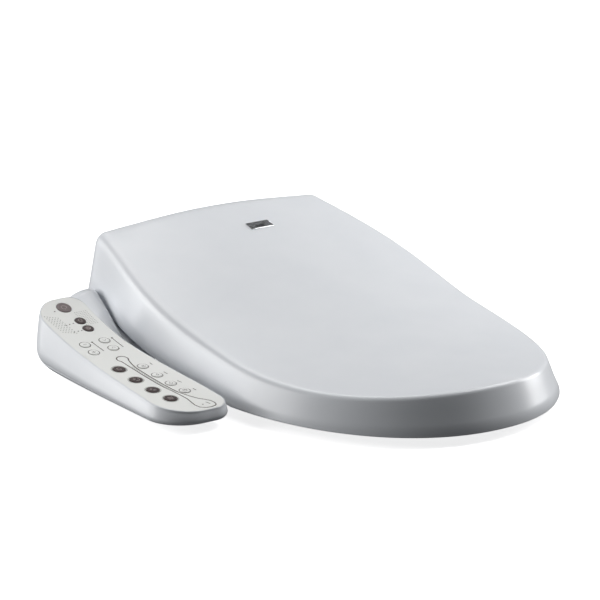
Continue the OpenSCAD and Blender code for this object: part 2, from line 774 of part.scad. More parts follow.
module water_hoses() {
    tank_back = HEATER[0].y + HEATER[1].y + 8;
    color("gray") {
        hose([[VALVE_X + 5, inlet_y + 16, inlet_z + 4], [VALVE_X + 3, 44, 26],
            [90, 51, 46], [76, 51, 64], [76, tank_back, 64]], hose_r);
        hose([[46, tank_back, 64], [46, 51, 64], [8, 51, 72], [8, 29, 72]], hose_r);
    }
}

// ---- Drying unit ----
BLOWER = [66, 4, 20];
blower_r = 30;
blower_h = 24;

module blower_housing() {
    color("gray") difference() {
        translate(BLOWER) cylinder(r = blower_r, h = blower_h);
        translate(BLOWER + [0, 0, 2]) cylinder(r = blower_r - 2, h = blower_h - 4);
        translate(BLOWER + [0, 0, blower_h - 3]) cylinder(r = 14, h = 4);
        translate([flap_x - 12, -40, BLOWER.z + 4]) cube([24, 30, blower_h - 8]);
    }
    color("gray") translate(BLOWER + [0, 0, 1]) cylinder(r = 2, h = blower_h - 5);
}

module dryer_impeller() {
    color("dimgray") translate(BLOWER + [0, 0, 3]) difference() {
        union() {
            cylinder(r = 23, h = 1.5);
            cylinder(r = 5, h = 14);
            for (i = [0:17]) rotate([0, 0, i * 20]) translate([15, -0.6, 1]) cube([8, 1.2, 14]);
        }
        translate([0, 0, -1]) cylinder(r = 2 + run_gap, h = 20);
    }
}

DUCT_SIDE = [
    [-apron_front + wall + 5, 7.5], [-38, 7.5], [-38, BLOWER.z + 3], [-26.2, BLOWER.z + 3],
    [-26.2, BLOWER.z + blower_h - 3], [-56, BLOWER.z + blower_h - 3], [-57, 19],
    [-apron_front + wall + 5, 16.6]];
DUCT_HOLE = [
    [-apron_front, 9], [-40, 9], [-40, BLOWER.z + 5], [-20, BLOWER.z + 5],
    [-20, BLOWER.z + blower_h - 5], [-54, BLOWER.z + blower_h - 5], [-55, 17],
    [-apron_front, 15.1]];

module dryer_duct() {
    color("gray") difference() {
        along_x(flap_x - 14, flap_x + 14) polygon(DUCT_SIDE);
        along_x(flap_x - 12, flap_x + 12) polygon(DUCT_HOLE);
        translate(BLOWER - [0, 0, 1]) cylinder(r = blower_r + 0.2, h = blower_h + 2);
    }
}

flap_z = 16.4;
flap_y = 1.5 - apron_front;
flap_pin = 1;

module dryer_flap() {
    color(white) {
        translate([flap_x - flap_w / 2 - 5, flap_y, flap_z]) rotate([0, 90, 0])
            cylinder(r = flap_pin, h = flap_w + 10);
        translate([flap_x - flap_w / 2 + 0.6, flap_y - 1, 8.5]) cube([flap_w - 1.2, 1.6, flap_z - 8.5]);
    }
}

// ---- Deodoriser ----
rotor_y = -6;

module deodoriser_housing() {
    z0 = filter_z - 2;
    hw = filter_w / 2 + 3;
    color("lightgray") difference() {
        union() {
            translate([filter_x - hw, -26, z0]) cube([2 * hw, case_rear - wall + 26, filter_h + 6]);
            translate([intake_x - 14, -56, z0]) cube([28, 31, 12]);
            translate([intake_x - 14, -56, 7.5]) cube([28, 16, 14]);
            translate([intake_x - 14, -apron_front + wall + 0.5, 7.5]) cube([28, 40, 9]);
        }
        translate([filter_x - hw + 2, 14, filter_z - filter_gap])
            cube([2 * hw - 4, case_rear, filter_h + 2 * filter_gap]);
        translate([filter_x, rotor_y, filter_z]) cylinder(r = 19, h = filter_h);
        translate([filter_x - 12, rotor_y, filter_z + 2]) cube([24, 30, filter_h - 4]);
        translate([intake_x - 12, -54, filter_z]) cube([24, 44, 8]);
        translate([intake_x - 12, -54, 9]) cube([24, 12, 14]);
        translate([intake_x - 12, -apron_front, 9]) cube([24, 50, 6]);
    }
    color("lightgray") translate([filter_x, rotor_y, z0 + 1]) cylinder(r = 1.5, h = filter_h);
}

module deodoriser_rotor() {
    color("dimgray") translate([filter_x, rotor_y, filter_z + 1]) difference() {
        union() {
            cylinder(r = 5, h = 9);
            for (i = [0:8]) rotate([0, 0, i * 40]) translate([4, -0.6, 1]) cube([12, 1.2, 8]);
        }
        translate([0, 0, -1]) cylinder(r = 1.5 + run_gap, h = 12);
    }
}

module deodoriser_filter() {
    color("darkslategray") difference() {
        translate([filter_x - filter_w / 2, case_rear - 42, filter_z]) cube([filter_w, 42, filter_h]);
        for (i = [0:4]) translate([filter_x - 17 + i * 7, case_rear - 43, filter_z + 2])
            cube([5, 36, filter_h - 4]);
    }
    color(white) translate([filter_x - filter_w / 2 + 4, case_rear, filter_z + 5]) cube([filter_w - 8, 4, 3]);
}

// ---- Electrics ----
module main_board() {
    z = 46;
    color("seagreen") translate([-case_hw + wall + 22, -30, z]) cube([74, 66, 1.6]);
    color("dimgray") {
        translate([-case_hw + wall + 30, -20, z + 1.6]) cube([18, 18, 3]);
        translate([-case_hw + wall + 56, -24, z + 1.6]) cube([26, 14, 12]);
        for (i = [0:3]) translate([-case_hw + wall + 32 + i * 14, 10, z + 1.6]) cylinder(r = 4.5, h = 9);
    }
}

module power_supply() {
    color("goldenrod") translate([-case_hw + wall + 2, -36, tray_z + wall + 1]) cube([19, 58, 34]);
}

gland_x = 118;
gland_z = 18;

module cable_gland() {
    color("dimgray") translate([gland_x, case_rear + 5, gland_z]) rotate([90, 0, 0]) difference() {
        union() {
            translate([0, 0, 0]) cylinder(r = gland_r + 4.5, h = 5);
            cylinder(r = gland_r + 3, h = 12);
        }
        translate([0, 0, -1]) cylinder(r = gland_r, h = 14);
    }
}

// ---- Control arm ----
skirt_out = lid_hw * 1.02 + flare_front;
arm_x = -skirt_out - arm_gap;
arm_out = arm_x + 1.4 - arm_w;
arm_tip = -arm_l;
PANEL_Z = [79, 40, 38.5, 24];
function panel_z(y) = bez(PANEL_Z, clamp01(-y / 272));
function panel_tilt(y) = atan((panel_z(y + 1) - panel_z(y - 1)) / 2);
ARM_N = 24;
arm_steps = [for (i = [0:ARM_N]) 4 + (arm_tip - 8) * i / ARM_N];

ARM_PLAN = [
    [arm_out, 1, 34], [arm_out, arm_tip, 44], [arm_x + 3, arm_tip, 22],
    [arm_x, -220, 200], [arm_x - 13, -90, 100], [arm_x - 13, 1, 20]];
PANEL_PLAN = [
    [arm_out + 6, -1, 32], [arm_out + 6, arm_tip + 3, 42], [arm_x, arm_tip + 3, 20],
    [arm_x - 3, -220, 200], [arm_x - 15, -90, 100], [arm_x - 15, -1, 16]];
function plan_inset(pts, d) = let (cx = (arm_out + arm_x) / 2, cy = arm_tip / 2)
    [for (p = pts) [p.x + (p.x > cx ? -d : d), p.y + (p.y > cy ? -d : d), max(p.z - d, 2)]];

// The space between two heights above and below the panel's face
module under_panel(low, high) {
    along_x(-400, 0) polygon(concat(
        [for (y = arm_steps) [y, panel_z(y) + high]],
        [for (i = [ARM_N:-1:0]) [arm_steps[i], is_undef(low) ? arm_z : panel_z(arm_steps[i]) + low]]));
}

module arm_plan(d) {
    linear_extrude(120) polygon(rounded(plan_inset(ARM_PLAN, d)));
}

module panel_plan(d) {
    linear_extrude(120) polygon(rounded(plan_inset(PANEL_PLAN, d)));
}

arm_wall = 2.5;
neck_front = -76;
NECK_SIDE = [
    [neck_front, tray_z], [case_rear - 4, tray_z], [case_rear, tray_z + 4], [case_rear, 34],
    [case_rear - 4, 48], [case_rear - 10, 57], [hinge_y, 54], [-20, 42], [neck_front, 30]];

// The neck's outer part rises beside the lid to a ridge
RIDGE_SIDE = [
    [neck_front, tray_z], [case_rear - 4, tray_z], [case_rear, tray_z + 4], [case_rear, 46],
    [case_rear - 4, 58], [case_rear - 12, 67], [hinge_y, 70], [22, 68], [-6, 56], [-56, 32], [neck_front, 26]];
ridge_x = skirt_out - 10;
function thinned(side) = [for (p = side)
    [p.x + (p.x > 0 ? -arm_wall : arm_wall), p.y + (p.y > 20 ? -arm_wall : arm_wall)]];

module neck(d, side) {
    intersection() {
        along_x(arm_x - 13 - arm_wall + d, -flank_in - d) polygon(side);
        union() {
            translate([-400, -case_front + 5 + d, 0]) cube([400 - flank_in - d, 300, 100]);
            translate([-400, neck_front + d, 0]) cube([400 - seat_hw - 5 - d, 300, 100]);
        }
    }
}

module ridge(d, side) {
    along_x(arm_x - 13 - arm_wall + d, -ridge_x - d) polygon(side);
}

module arm_casing() {
    color(white) difference() {
        union() {
            intersection() {
                arm_plan(0);
                under_panel(undef, 0);
            }
            neck(0, NECK_SIDE);
            ridge(0, RIDGE_SIDE);
        }
        intersection() {
            arm_plan(arm_wall);
            translate([0, 0, -arm_wall]) under_panel(-400, -panel_t + 0.4);
            translate([-400, -400, arm_z - 1]) cube([400, 500, 100]);
        }
        neck(arm_wall, thinned(NECK_SIDE));
        ridge(arm_wall, thinned(RIDGE_SIDE));
        translate([arm_x - 22, -40, arm_z + 6]) cube([14, 30, 14]);
        intersection() {
            panel_plan(0);
            under_panel(-panel_t, 5);
        }
        side_span(-1, flank_in - 1, flank_out + 3, scoop_r);
        for (b = BUTTONS) at_button(b) translate([0, 0, -8]) cylinder(r = b.z + 0.3, h = 12);
        intersection() {
            arm_plan(1.2);
            translate([-400, -400, 0]) cube([400, 500, arm_z + 2]);
        }
    }
}

module arm_cover() {
    color(panel_grey) intersection() {
        arm_plan(1.2);
        translate([-400, -400, arm_z]) cube([400, 500, 2]);
    }
}

module panel_plate() {
    color(panel_grey) difference() {
        intersection() {
            panel_plan(0);
            under_panel(-panel_t, 0);
        }
        for (b = BUTTONS) at_button(b) translate([0, 0, -6]) cylinder(r = b.z + 0.3, h = 12);
    }
}

module panel_board() {
    color("seagreen") difference() {
        intersection() {
            panel_plan(4);
            under_panel(-13, -11.4);
            translate([-400, -246, 0]) cube([400, 240, 120]);
        }
        translate([-400, -400, 0]) cube([400, 500, arm_z + 2.5]);
    }
}

// Each button is [across the arm from its outer edge, y, radius]
small_r = 5.4;
BUTTONS = [for (b = [
    [40, -16, wash_r + 1.6], [44, -42, small_r + 0.8], [44, -57.5, small_r + 0.8],
    [21.5, -86, small_r], [21, -104, small_r], [46.5, -85, small_r], [46, -103, small_r],
    [50, -153, small_r], [51, -178, small_r], [52, -202, small_r], [54.5, -224, small_r],
    [23, -149, wash_r], [24, -179, wash_r], [25.5, -208, wash_r], [30, -234, wash_r]
]) [arm_out + b.x, b.y, b.z]];

module at_button(b) {
    translate([b.x, b.y, panel_z(b.y)]) rotate([panel_tilt(b.y), 0, 0]) children();
}

module button(i, tint) {
    b = BUTTONS[i];
    color(tint) at_button(b) {
        translate([0, 0, -5.6]) cylinder(r = b.z, h = 6.3);
        translate([0, 0, -5.6]) cylinder(r = b.z + 0.9, h = 1.2);
        translate([0, 0, -9]) cylinder(r = 1.5, h = 5);
    }
}

module button_power() { button(0, "#8f8383"); }
module button_water_temp() { button(1, brown); }
module button_seat_temp() { button(2, brown); }
module button_pressure_less() { button(3, panel_grey); }
module button_pressure_more() { button(4, panel_grey); }
module button_position_back() { button(5, panel_grey); }
module button_position_front() { button(6, panel_grey); }
module button_pulse() { button(7, panel_grey); }
module button_eco() { button(8, panel_grey); }
module button_light() { button(9, panel_grey); }
module button_child() { button(10, panel_grey); }
module button_stop() { button(11, brown); }
module button_rear_wash() { button(12, brown); }
module button_front_wash() { button(13, brown); }
module button_dry() { button(14, brown); }

base_tray();
upper_casing();
arm_casing();
arm_cover();
panel_plate();
panel_board();
main_board();
power_supply();
water_inlet();
inlet_filter();
solenoid_valve();
water_heater();
diverter_valve();
water_hoses();
nozzle_guide();
nozzle_motors();
deodoriser_housing();
blower_housing();
dryer_duct();
seat_damper();
lid_damper();
casing_screws();
rubber_feet();
cable_gland();
button_power();
button_water_temp();
button_seat_temp();
button_pressure_less();
button_pressure_more();
button_position_back();
button_position_front();
button_pulse();
button_eco();
button_light();
button_child();
button_stop();
button_rear_wash();
button_front_wash();
button_dry();
seat_upper_shell();
seat_lower_shell();
seat_heater();
seat_bumpers();
seat_bushes();
lid_shell();
lid_badge();
lid_bumpers();
lid_bushes();
nozzle_wand_rear();
nozzle_wand_front();
nozzle_tip_rear();
nozzle_tip_front();
pinion_rear();
pinion_front();
dryer_impeller();
dryer_flap();
deodoriser_rotor();
deodoriser_filter();
mounting_plate();
release_button();
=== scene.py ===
"""Looks of an electric bidet seat: lid, seat, casing, control arm and the units inside.

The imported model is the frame. Classes hold sizes in millimetres in the model's own axes:
+Z up, the seat's front towards -Y, the user's right hand and the control arm towards -X.
"""

import json
import logging
import math
from collections.abc import Callable, Sequence
from dataclasses import dataclass, field
from enum import Enum

import bmesh
import bpy
from mathutils import Matrix, Vector


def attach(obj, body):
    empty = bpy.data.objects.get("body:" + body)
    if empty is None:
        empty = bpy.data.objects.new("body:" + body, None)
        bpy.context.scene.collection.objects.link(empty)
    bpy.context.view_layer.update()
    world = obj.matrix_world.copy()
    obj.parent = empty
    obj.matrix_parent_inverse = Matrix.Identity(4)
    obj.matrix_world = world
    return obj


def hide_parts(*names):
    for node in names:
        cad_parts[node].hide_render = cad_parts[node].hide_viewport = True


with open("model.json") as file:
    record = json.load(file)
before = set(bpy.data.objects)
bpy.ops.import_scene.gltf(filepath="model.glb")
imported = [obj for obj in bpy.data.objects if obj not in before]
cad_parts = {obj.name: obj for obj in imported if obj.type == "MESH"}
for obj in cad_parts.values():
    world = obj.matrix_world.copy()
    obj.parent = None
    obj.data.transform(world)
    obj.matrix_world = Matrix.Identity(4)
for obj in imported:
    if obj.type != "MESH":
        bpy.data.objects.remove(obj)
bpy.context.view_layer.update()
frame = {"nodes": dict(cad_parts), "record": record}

MM = 0.001
LOG = logging.getLogger("bidet_seat")


# ---- Curves and outlines ----


def bezier(points: Sequence[float], u: float) -> float:
    """Value of a Bezier curve of any degree.

    Args:
        points: The control values.
        u: Place along the curve, from 0 to 1.

    Returns:
        The curve's value there.
    """
    values = list(points)
    while len(values) > 1:
        values = [a * (1 - u) + b * u for a, b in zip(values, values[1:])]
    return values[0]


def clamp(value: float) -> float:
    """The value, kept between 0 and 1."""
    return min(max(value, 0.0), 1.0)


def mix(a: float, b: float, u: float) -> float:
    """The value a share u of the way from a to b."""
    return a + (b - a) * u


def signed_power(value: float, power: float) -> float:
    """The power of a value's size, with its sign."""
    return math.copysign(abs(value) ** power, value)


@dataclass(frozen=True)
class Corner:
    """One corner of a plan outline, with its rounding."""

    x: float
    y: float
    radius: float


def rounded_outline(corners: Sequence[Corner], arc_steps: int = 10, side_steps: int = 20) -> list[Vector]:
    """Points round a polygon with rounded corners, equally many for any sizes.

    Args:
        corners: The polygon's corners in order.
        arc_steps: Steps round each corner.
        side_steps: Steps along each straight side.

    Returns:
        Plan points with z at 0.
    """
    arcs: list[list[Vector]] = []
    count = len(corners)
    for i, corner in enumerate(corners):
        here = Vector((corner.x, corner.y))
        back = (Vector((corners[i - 1].x, corners[i - 1].y)) - here).normalized()
        on = (Vector((corners[(i + 1) % count].x, corners[(i + 1) % count].y)) - here).normalized()
        half = back.angle(on) / 2
        centre = here + (back + on).normalized() * corner.radius / math.sin(half)
        start = here + back * corner.radius / math.tan(half) - centre
        turn = (math.pi - 2 * half) * (-1 if back.cross(on) > 0 else 1)
        arcs.append([
            (centre + Matrix.Rotation(turn * k / arc_steps, 2) @ start).to_3d() for k in range(arc_steps + 1)
        ])
    points: list[Vector] = []
    for i, arc in enumerate(arcs):
        nearest = arcs[(i + 1) % count][0]
        points += arc
        points += [arc[-1].lerp(nearest, k / side_steps) for k in range(1, side_steps)]
    return points


def circle(x: float, y: float, radius: float, count: int = 40) -> list[Vector]:
    """Plan points round a circle."""
    return [
        Vector((
            x + radius * math.cos(math.tau * i / count), y + radius * math.sin(math.tau * i / count), 0.0,
        ))
        for i in range(count)
    ]


def inwards(points: Sequence[Vector], distance: float) -> list[Vector]:
    """An outline moved in along its own normals.

    Args:
        points: Plan points in order round the outline.
        distance: How far in; negative moves out.

    Returns:
        The moved points, as many as before.
    """
    area = sum(a.x * b.y - b.x * a.y for a, b in zip(points, [*points[1:], points[0]]))
    side = 1.0 if area > 0 else -1.0
    moved = []
    for i, point in enumerate(points):
        along = points[(i + 1) % len(points)] - points[i - 1]
        normal = Vector((-along.y, along.x, 0.0)).normalized() * side
        moved.append(point + normal * distance)
    return moved


# ---- Meshes ----


class Piece:
    """A mesh in the making, in millimetres, that ends as one object riding on a body."""

    def __init__(self, name: str) -> None:
        """Starts an empty mesh for the piece of that name."""
        self.name = name
        self.bm = bmesh.new()

    def ring(self, points: Sequence[Vector]) -> list[bmesh.types.BMEdge]:
        """A closed loop of edges: a circle shaped onto the points.

        Args:
            points: Where its vertices go, in order.

        Returns:
            The loop's edges.
        """
        verts = bmesh.ops.create_circle(self.bm, segments=len(points), radius=1.0)["verts"]
        for vert, point in zip(verts, points):
            vert.co = point
        return list({edge for vert in verts for edge in vert.link_edges})

    def skin(self, rings: Sequence[Sequence[Vector]], joined: bool = False) -> None:
        """A surface bridged over rings, closed by a face at each end or into a ring of rings.

        Args:
            rings: Loops of equally many points.
            joined: True to join the last loop to the first instead of capping both.
        """
        loops = [self.ring(points) for points in rings]
        for a, b in zip(loops, loops[1:]):
            bmesh.ops.bridge_loops(self.bm, edges=a + b)
        if joined:
            bmesh.ops.bridge_loops(self.bm, edges=loops[-1] + loops[0])
            return
        for loop in (loops[0], loops[-1]):
            bmesh.ops.contextual_create(self.bm, geom=loop)

    def turned(
        self, profile: Sequence[tuple[float, float]], base: Vector, axis: Vector, steps: int = 48
    ) -> None:
        """A turned solid: a profile spun round an axis.

        Args:
            profile: Points as (radius, distance along the axis).
            base: The axis's start.
            axis: Its direction.
            steps: Steps in the full turn.
        """
        along = axis.normalized()
        side = along.orthogonal().normalized()
        verts = [self.bm.verts.new(base + side * r + along * h) for r, h in profile]
        edges = [self.bm.edges.new(pair) for pair in zip(verts, verts[1:])]
        bmesh.ops.spin(
            self.bm, geom=verts + edges, cent=base, axis=along, angle=math.tau, steps=steps, use_merge=True
        )

    def block(self, low: Vector, high: Vector, rounding: float = 0.6, segments: int = 3) -> None:
        """A box between two corners with its edges rounded over.

        Args:
            low: Its lowest corner.
            high: Its highest corner.
            rounding: Radius along the edges.
            segments: Steps in the rounding.
        """
        made = bmesh.ops.create_cube(self.bm, size=1.0)["verts"]
        bmesh.ops.scale(self.bm, verts=made, vec=high - low)
        bmesh.ops.translate(self.bm, verts=made, vec=(low + high) / 2)
        edges = list({edge for vert in made for edge in vert.link_edges})
        bmesh.ops.bevel(
            self.bm, geom=edges, offset=rounding, offset_type="OFFSET", segments=segments, profile=0.5,
            affect="EDGES", material=-1, clamp_overlap=True,
        )

    def close(
        self, dress: "Finish", body: str, replaces: Sequence[str] = (), slot: str = "",
        smooth_deg: float = 35.0
    ) -> bpy.types.Object:
        """Turns the mesh to metres and hands it over as a finished object.

        Args:
            dress: The finish it wears.
            body: The body it rides on.
            replaces: The CAD nodes it stands for.
            slot: The record's material slot. Not used.
            smooth_deg: Edges flatter than this are shaded smooth.

        Returns:
            The object.
        """
        bmesh.ops.remove_doubles(self.bm, verts=self.bm.verts, dist=0.0005)
        bmesh.ops.recalc_face_normals(self.bm, faces=self.bm.faces)
        bmesh.ops.scale(self.bm, verts=self.bm.verts, vec=(MM, MM, MM))
        mesh = bpy.data.meshes.new(self.name)
        self.bm.to_mesh(mesh)
        self.bm.free()
        return hand_over(self.name, mesh, dress, body, replaces, smooth_deg)


def hand_over(
    name: str, mesh: bpy.types.Mesh, dress: "Finish", body: str, replaces: Sequence[str],
    smooth_deg: float,
) -> bpy.types.Object:
    """Makes a finished mesh an object that rides on its body.

    Args:
        name: The object's name.
        mesh: Its mesh, in metres.
        dress: The finish it wears.
        body: The body it rides on.
        replaces: The CAD nodes it stands for.
        smooth_deg: Edges flatter than this are shaded smooth.

    Returns:
        The object.
    """
    mesh.polygons.foreach_set("use_smooth", [True] * len(mesh.polygons))
    mesh.set_sharp_from_angle(angle=math.radians(smooth_deg))
    mesh.materials.append(dress.material())
    made = bpy.data.objects.new(name, mesh)
    bpy.context.scene.collection.objects.link(made)
    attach(made, body)
    if replaces:
        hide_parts(*replaces)
    LOG.info("%s: %d faces on %s", name, len(mesh.polygons), body)
    return made


def softened(
    node: str, dress: "Finish", body: str, rounding: float = 0.4, smooth_deg: float = 32.0
) -> bpy.types.Object:
    """A copy of a CAD node, merged and cleaned, with its sharp edges rounded over.

    Args:
        node: The CAD node it stands for.
        dress: The finish it wears.
        body: The body it rides on.
        rounding: Radius along the sharp edges, in millimetres.
        smooth_deg: Edges flatter than this are shaded smooth.

    Returns:
        The object.
    """
    bm = bmesh.new()
    bm.from_mesh(frame["nodes"][node].data)
    bmesh.ops.remove_doubles(bm, verts=bm.verts, dist=0.002 * MM)
    bmesh.ops.dissolve_limit(
        bm, angle_limit=math.radians(0.6), verts=bm.verts, edges=bm.edges, use_dissolve_boundaries=False
    )
    mesh = bpy.data.meshes.new(f"{node}_moulding")
    bm.to_mesh(mesh)
    bm.free()
    made = hand_over(f"{node}_moulding", mesh, dress, body, [node], smooth_deg)
    if rounding > 0:
        bevel = made.modifiers.new("rounded edges", "BEVEL")
        bevel.width = rounding * MM
        bevel.segments = 2
        bevel.limit_method = "ANGLE"
        bevel.angle_limit = math.radians(smooth_deg + 8)
        bevel.harden_normals = True
    return made


# ---- Finishes ----


def linear(colour: str) -> tuple[float, float, float, float]:
    """Turns an sRGB hex colour to linear RGBA."""
    channels = [int(colour[i:i + 2], 16) / 255 for i in (1, 3, 5)]
    low_end, slope, offset, power = 0.04045, 12.92, 0.055, 2.4
    r, g, b = (c / slope if c <= low_end else ((c + offset) / (1 + offset)) ** power for c in channels)
    return (r, g, b, 1.0)


def add_node(
    tree: bpy.types.NodeTree, kind: str, settings: dict[str | int, object] | None = None,
    links: dict[str | int, bpy.types.NodeSocket] | None = None,
) -> bpy.types.Node:
    """Adds one shader node.

    Args:
        tree: The material's node tree.
        kind: The node's type.
        settings: Values by socket name or number, or by the node's own property name.
        links: What feeds each socket.

    Returns:
        The node.
    """
    node = tree.nodes.new(kind)
    for key, value in (settings or {}).items():
        if isinstance(key, str) and hasattr(node, key):
            setattr(node, key, value)
        else:
            node.inputs[key].default_value = value
    for key, source in (links or {}).items():
        tree.links.new(source, node.inputs[key])
    return node


@dataclass(frozen=True)
class Finish:
    """What every finish has: a name, a colour and a gloss."""

    name: str
    colour: str
    roughness: float = 0.4
    ior: float = 1.5

    def material(self) -> bpy.types.Material:
        """The finish as a material, made once."""
        found = bpy.data.materials.get(self.name)
        if found:
            return found
        made = bpy.data.materials.new(self.name)
        made.use_nodes = True
        tree = made.node_tree
        shader = tree.nodes["Principled BSDF"]
        shader.inputs["Base Color"].default_value = linear(self.colour)
        shader.inputs["Roughness"].default_value = self.roughness
        shader.inputs["IOR"].default_value = self.ior
        made.diffuse_color = linear(self.colour)
        place = add_node(tree, "ShaderNodeTexCoord").outputs["Object"]
        self.dress(tree, shader, place)
        return made

    def dress(self, tree: bpy.types.NodeTree, shader: bpy.types.Node, place: bpy.types.NodeSocket) -> None:
        """Adds what sets this finish apart.

        Args:
            tree: The material's node tree.
            shader: Its Principled shader.
            place: The piece's own coordinates, in metres.
        """
        raise NotImplementedError


@dataclass(frozen=True)
class Moulded(Finish):
    """Injection-moulded plastic.

    The eye sees an even colour with faint clouds where the melt flowed, and a
    skin that is never perfectly flat: gloss parts show a soft orange peel,
    matt ones the fine grain etched into the tool.
    """

    cloud_mm: float = 60.0
    cloud_colour: str = ""
    grain_mm: float = 3.0
    grain_depth_mm: float = 0.004
    gloss_change: float = 0.04
    coat: float = 0.0

    def dress(self, tree: bpy.types.NodeTree, shader: bpy.types.Node, place: bpy.types.NodeSocket) -> None:
        """Adds flow clouds, gloss changes and the tool's grain."""
        clouds = add_node(
            tree, "ShaderNodeTexNoise", {"Scale": 1 / (self.cloud_mm * MM), "Detail": 3.0}, {"Vector": place}
        )
        tint = add_node(
            tree, "ShaderNodeMix",
            {"data_type": "RGBA", 6: linear(self.colour), 7: linear(self.cloud_colour or self.colour)},
            {"Factor": clouds.outputs["Fac"]},
        )
        grain = add_node(
            tree, "ShaderNodeTexNoise", {"Scale": 1 / (self.grain_mm * MM), "Detail": 2.0}, {"Vector": place}
        )
        gloss = add_node(
            tree, "ShaderNodeMapRange",
            {
                "To Min": max(self.roughness - self.gloss_change, 0.02),
                "To Max": self.roughness + self.gloss_change,
            },
            {"Value": clouds.outputs["Fac"]},
        )
        bump = add_node(
            tree, "ShaderNodeBump", {"Strength": 1.0, "Distance": self.grain_depth_mm * MM},
            {"Height": grain.outputs["Fac"]},
        )
        tree.links.new(tint.outputs[2], shader.inputs["Base Color"])
        tree.links.new(gloss.outputs["Result"], shader.inputs["Roughness"])
        tree.links.new(bump.outputs["Normal"], shader.inputs["Normal"])
        shader.inputs["Coat Weight"].default_value = self.coat
        shader.inputs["Coat Roughness"].default_value = 0.05


class MetalSurface(Enum):
    """How a metal surface was made, as the stretch of its pattern along each axis."""

    PLATED = (1.0, 1.0, 1.0)
    BRUSHED = (0.05, 1.0, 1.0)
    TURNED = (1.0, 12.0, 1.0)


@dataclass(frozen=True)
class Metal(Finish):
    """Plated, brushed or turned metal: no colour of its own but what it mirrors, broken by fine marks."""

    surface: MetalSurface = MetalSurface.PLATED
    mark_mm: float = 0.8
    mark_depth_mm: float = 0.003

    def dress(self, tree: bpy.types.NodeTree, shader: bpy.types.Node, place: bpy.types.NodeSocket) -> None:
        """Adds the marks that the making left, in height and in gloss."""
        shader.inputs["Metallic"].default_value = 1.0
        stretched = add_node(tree, "ShaderNodeMapping", {"Scale": self.surface.value}, {"Vector": place})
        marks = add_node(
            tree, "ShaderNodeTexNoise", {"Scale": 1 / (self.mark_mm * MM), "Detail": 4.0},
            {"Vector": stretched.outputs["Vector"]},
        )
        gloss = add_node(
            tree, "ShaderNodeMapRange", {"To Min": self.roughness * 0.7, "To Max": self.roughness * 1.4},
            {"Value": marks.outputs["Fac"]},
        )
        bump = add_node(
            tree, "ShaderNodeBump", {"Strength": 1.0, "Distance": self.mark_depth_mm * MM},
            {"Height": marks.outputs["Fac"]},
        )
        tree.links.new(gloss.outputs["Result"], shader.inputs["Roughness"])
        tree.links.new(bump.outputs["Normal"], shader.inputs["Normal"])


@dataclass(frozen=True)
class Elastomer(Finish):
    """Moulded rubber or silicone: dull, slightly dusty in its hollows, with a soft rim of light."""

    bloom: str = "#8a8a8a"
    grain_mm: float = 1.2

    def dress(self, tree: bpy.types.NodeTree, shader: bpy.types.Node, place: bpy.types.NodeSocket) -> None:
        """Adds the bloom on the surface and its grain."""
        grain = add_node(
            tree, "ShaderNodeTexNoise", {"Scale": 1 / (self.grain_mm * MM), "Detail": 5.0}, {"Vector": place}
        )
        share = add_node(
            tree, "ShaderNodeMapRange", {"From Min": 0.35, "From Max": 0.9, "To Max": 0.35},
            {"Value": grain.outputs["Fac"]},
        )
        tint = add_node(
            tree, "ShaderNodeMix", {"data_type": "RGBA", 6: linear(self.colour), 7: linear(self.bloom)},
            {"Factor": share.outputs["Result"]},
        )
        bump = add_node(
            tree, "ShaderNodeBump", {"Strength": 1.0, "Distance": 0.01 * MM}, {"Height": grain.outputs["Fac"]}
        )
        tree.links.new(tint.outputs[2], shader.inputs["Base Color"])
        tree.links.new(bump.outputs["Normal"], shader.inputs["Normal"])
        shader.inputs["Sheen Weight"].default_value = 0.15


@dataclass(frozen=True)
class Patterned(Finish):
    """A sheet or body with a regular second colour, such as board tracks, foil tracks or granules."""

    second: str = "#000000"
    pitch_mm: float = 3.0
    share: float = 0.5
    relief_mm: float = 0.05
    metallic: float = 0.0

    def dress(self, tree: bpy.types.NodeTree, shader: bpy.types.Node, place: bpy.types.NodeSocket) -> None:
        """Adds the pattern in colour and height."""
        cells = add_node(
            tree, "ShaderNodeTexVoronoi", {"distance": "CHEBYCHEV", "Scale": 1 / (self.pitch_mm * MM)},
            {"Vector": place},
        )
        edge = add_node(
            tree, "ShaderNodeMapRange", {"From Min": self.share - 0.05, "From Max": self.share + 0.05},
            {"Value": cells.outputs["Distance"]},
        )
        tint = add_node(
            tree, "ShaderNodeMix", {"data_type": "RGBA", 6: linear(self.colour), 7: linear(self.second)},
            {"Factor": edge.outputs["Result"]},
        )
        bump = add_node(
            tree, "ShaderNodeBump", {"Strength": 1.0, "Distance": self.relief_mm * MM},
            {"Height": edge.outputs["Result"]},
        )
        tree.links.new(tint.outputs[2], shader.inputs["Base Color"])
        tree.links.new(bump.outputs["Normal"], shader.inputs["Normal"])
        shader.inputs["Metallic"].default_value = self.metallic


# Gloss ABS, moulded in a polished tool: bright white, with a clear but slightly wavy reflection
LID_ABS = Moulded(
    "lid_gloss_abs", "#e6e8eb", 0.3, 1.54, cloud_colour="#dcdfe3", grain_mm=7.0, grain_depth_mm=0.006,
)
CASING_ABS = Moulded("casing_gloss_abs", "#eceef1", 0.32, 1.54, cloud_colour="#e1e4e8", grain_mm=5.0)
# Gloss polypropylene: the seat, a touch softer and waxier than the lid
SEAT_PP = Moulded("seat_gloss_polypropylene", "#e8e9eb", 0.24, 1.49, cloud_colour="#e4e6e9", grain_mm=6.0)
# Matt ABS with an etched grain: covers and inner housings; the grain is drawn coarser than the real 0.2 mm
GREY_ABS = Moulded(
    "grained_grey_abs", "#c3c6c9", 0.42, 1.54, cloud_colour="#bcc0c4", grain_mm=1.0, grain_depth_mm=0.02,
)
DARK_ABS = Moulded(
    "grained_dark_abs", "#2b2c2f", 0.48, 1.54, cloud_colour="#333438", grain_mm=1.0, grain_depth_mm=0.02,
)
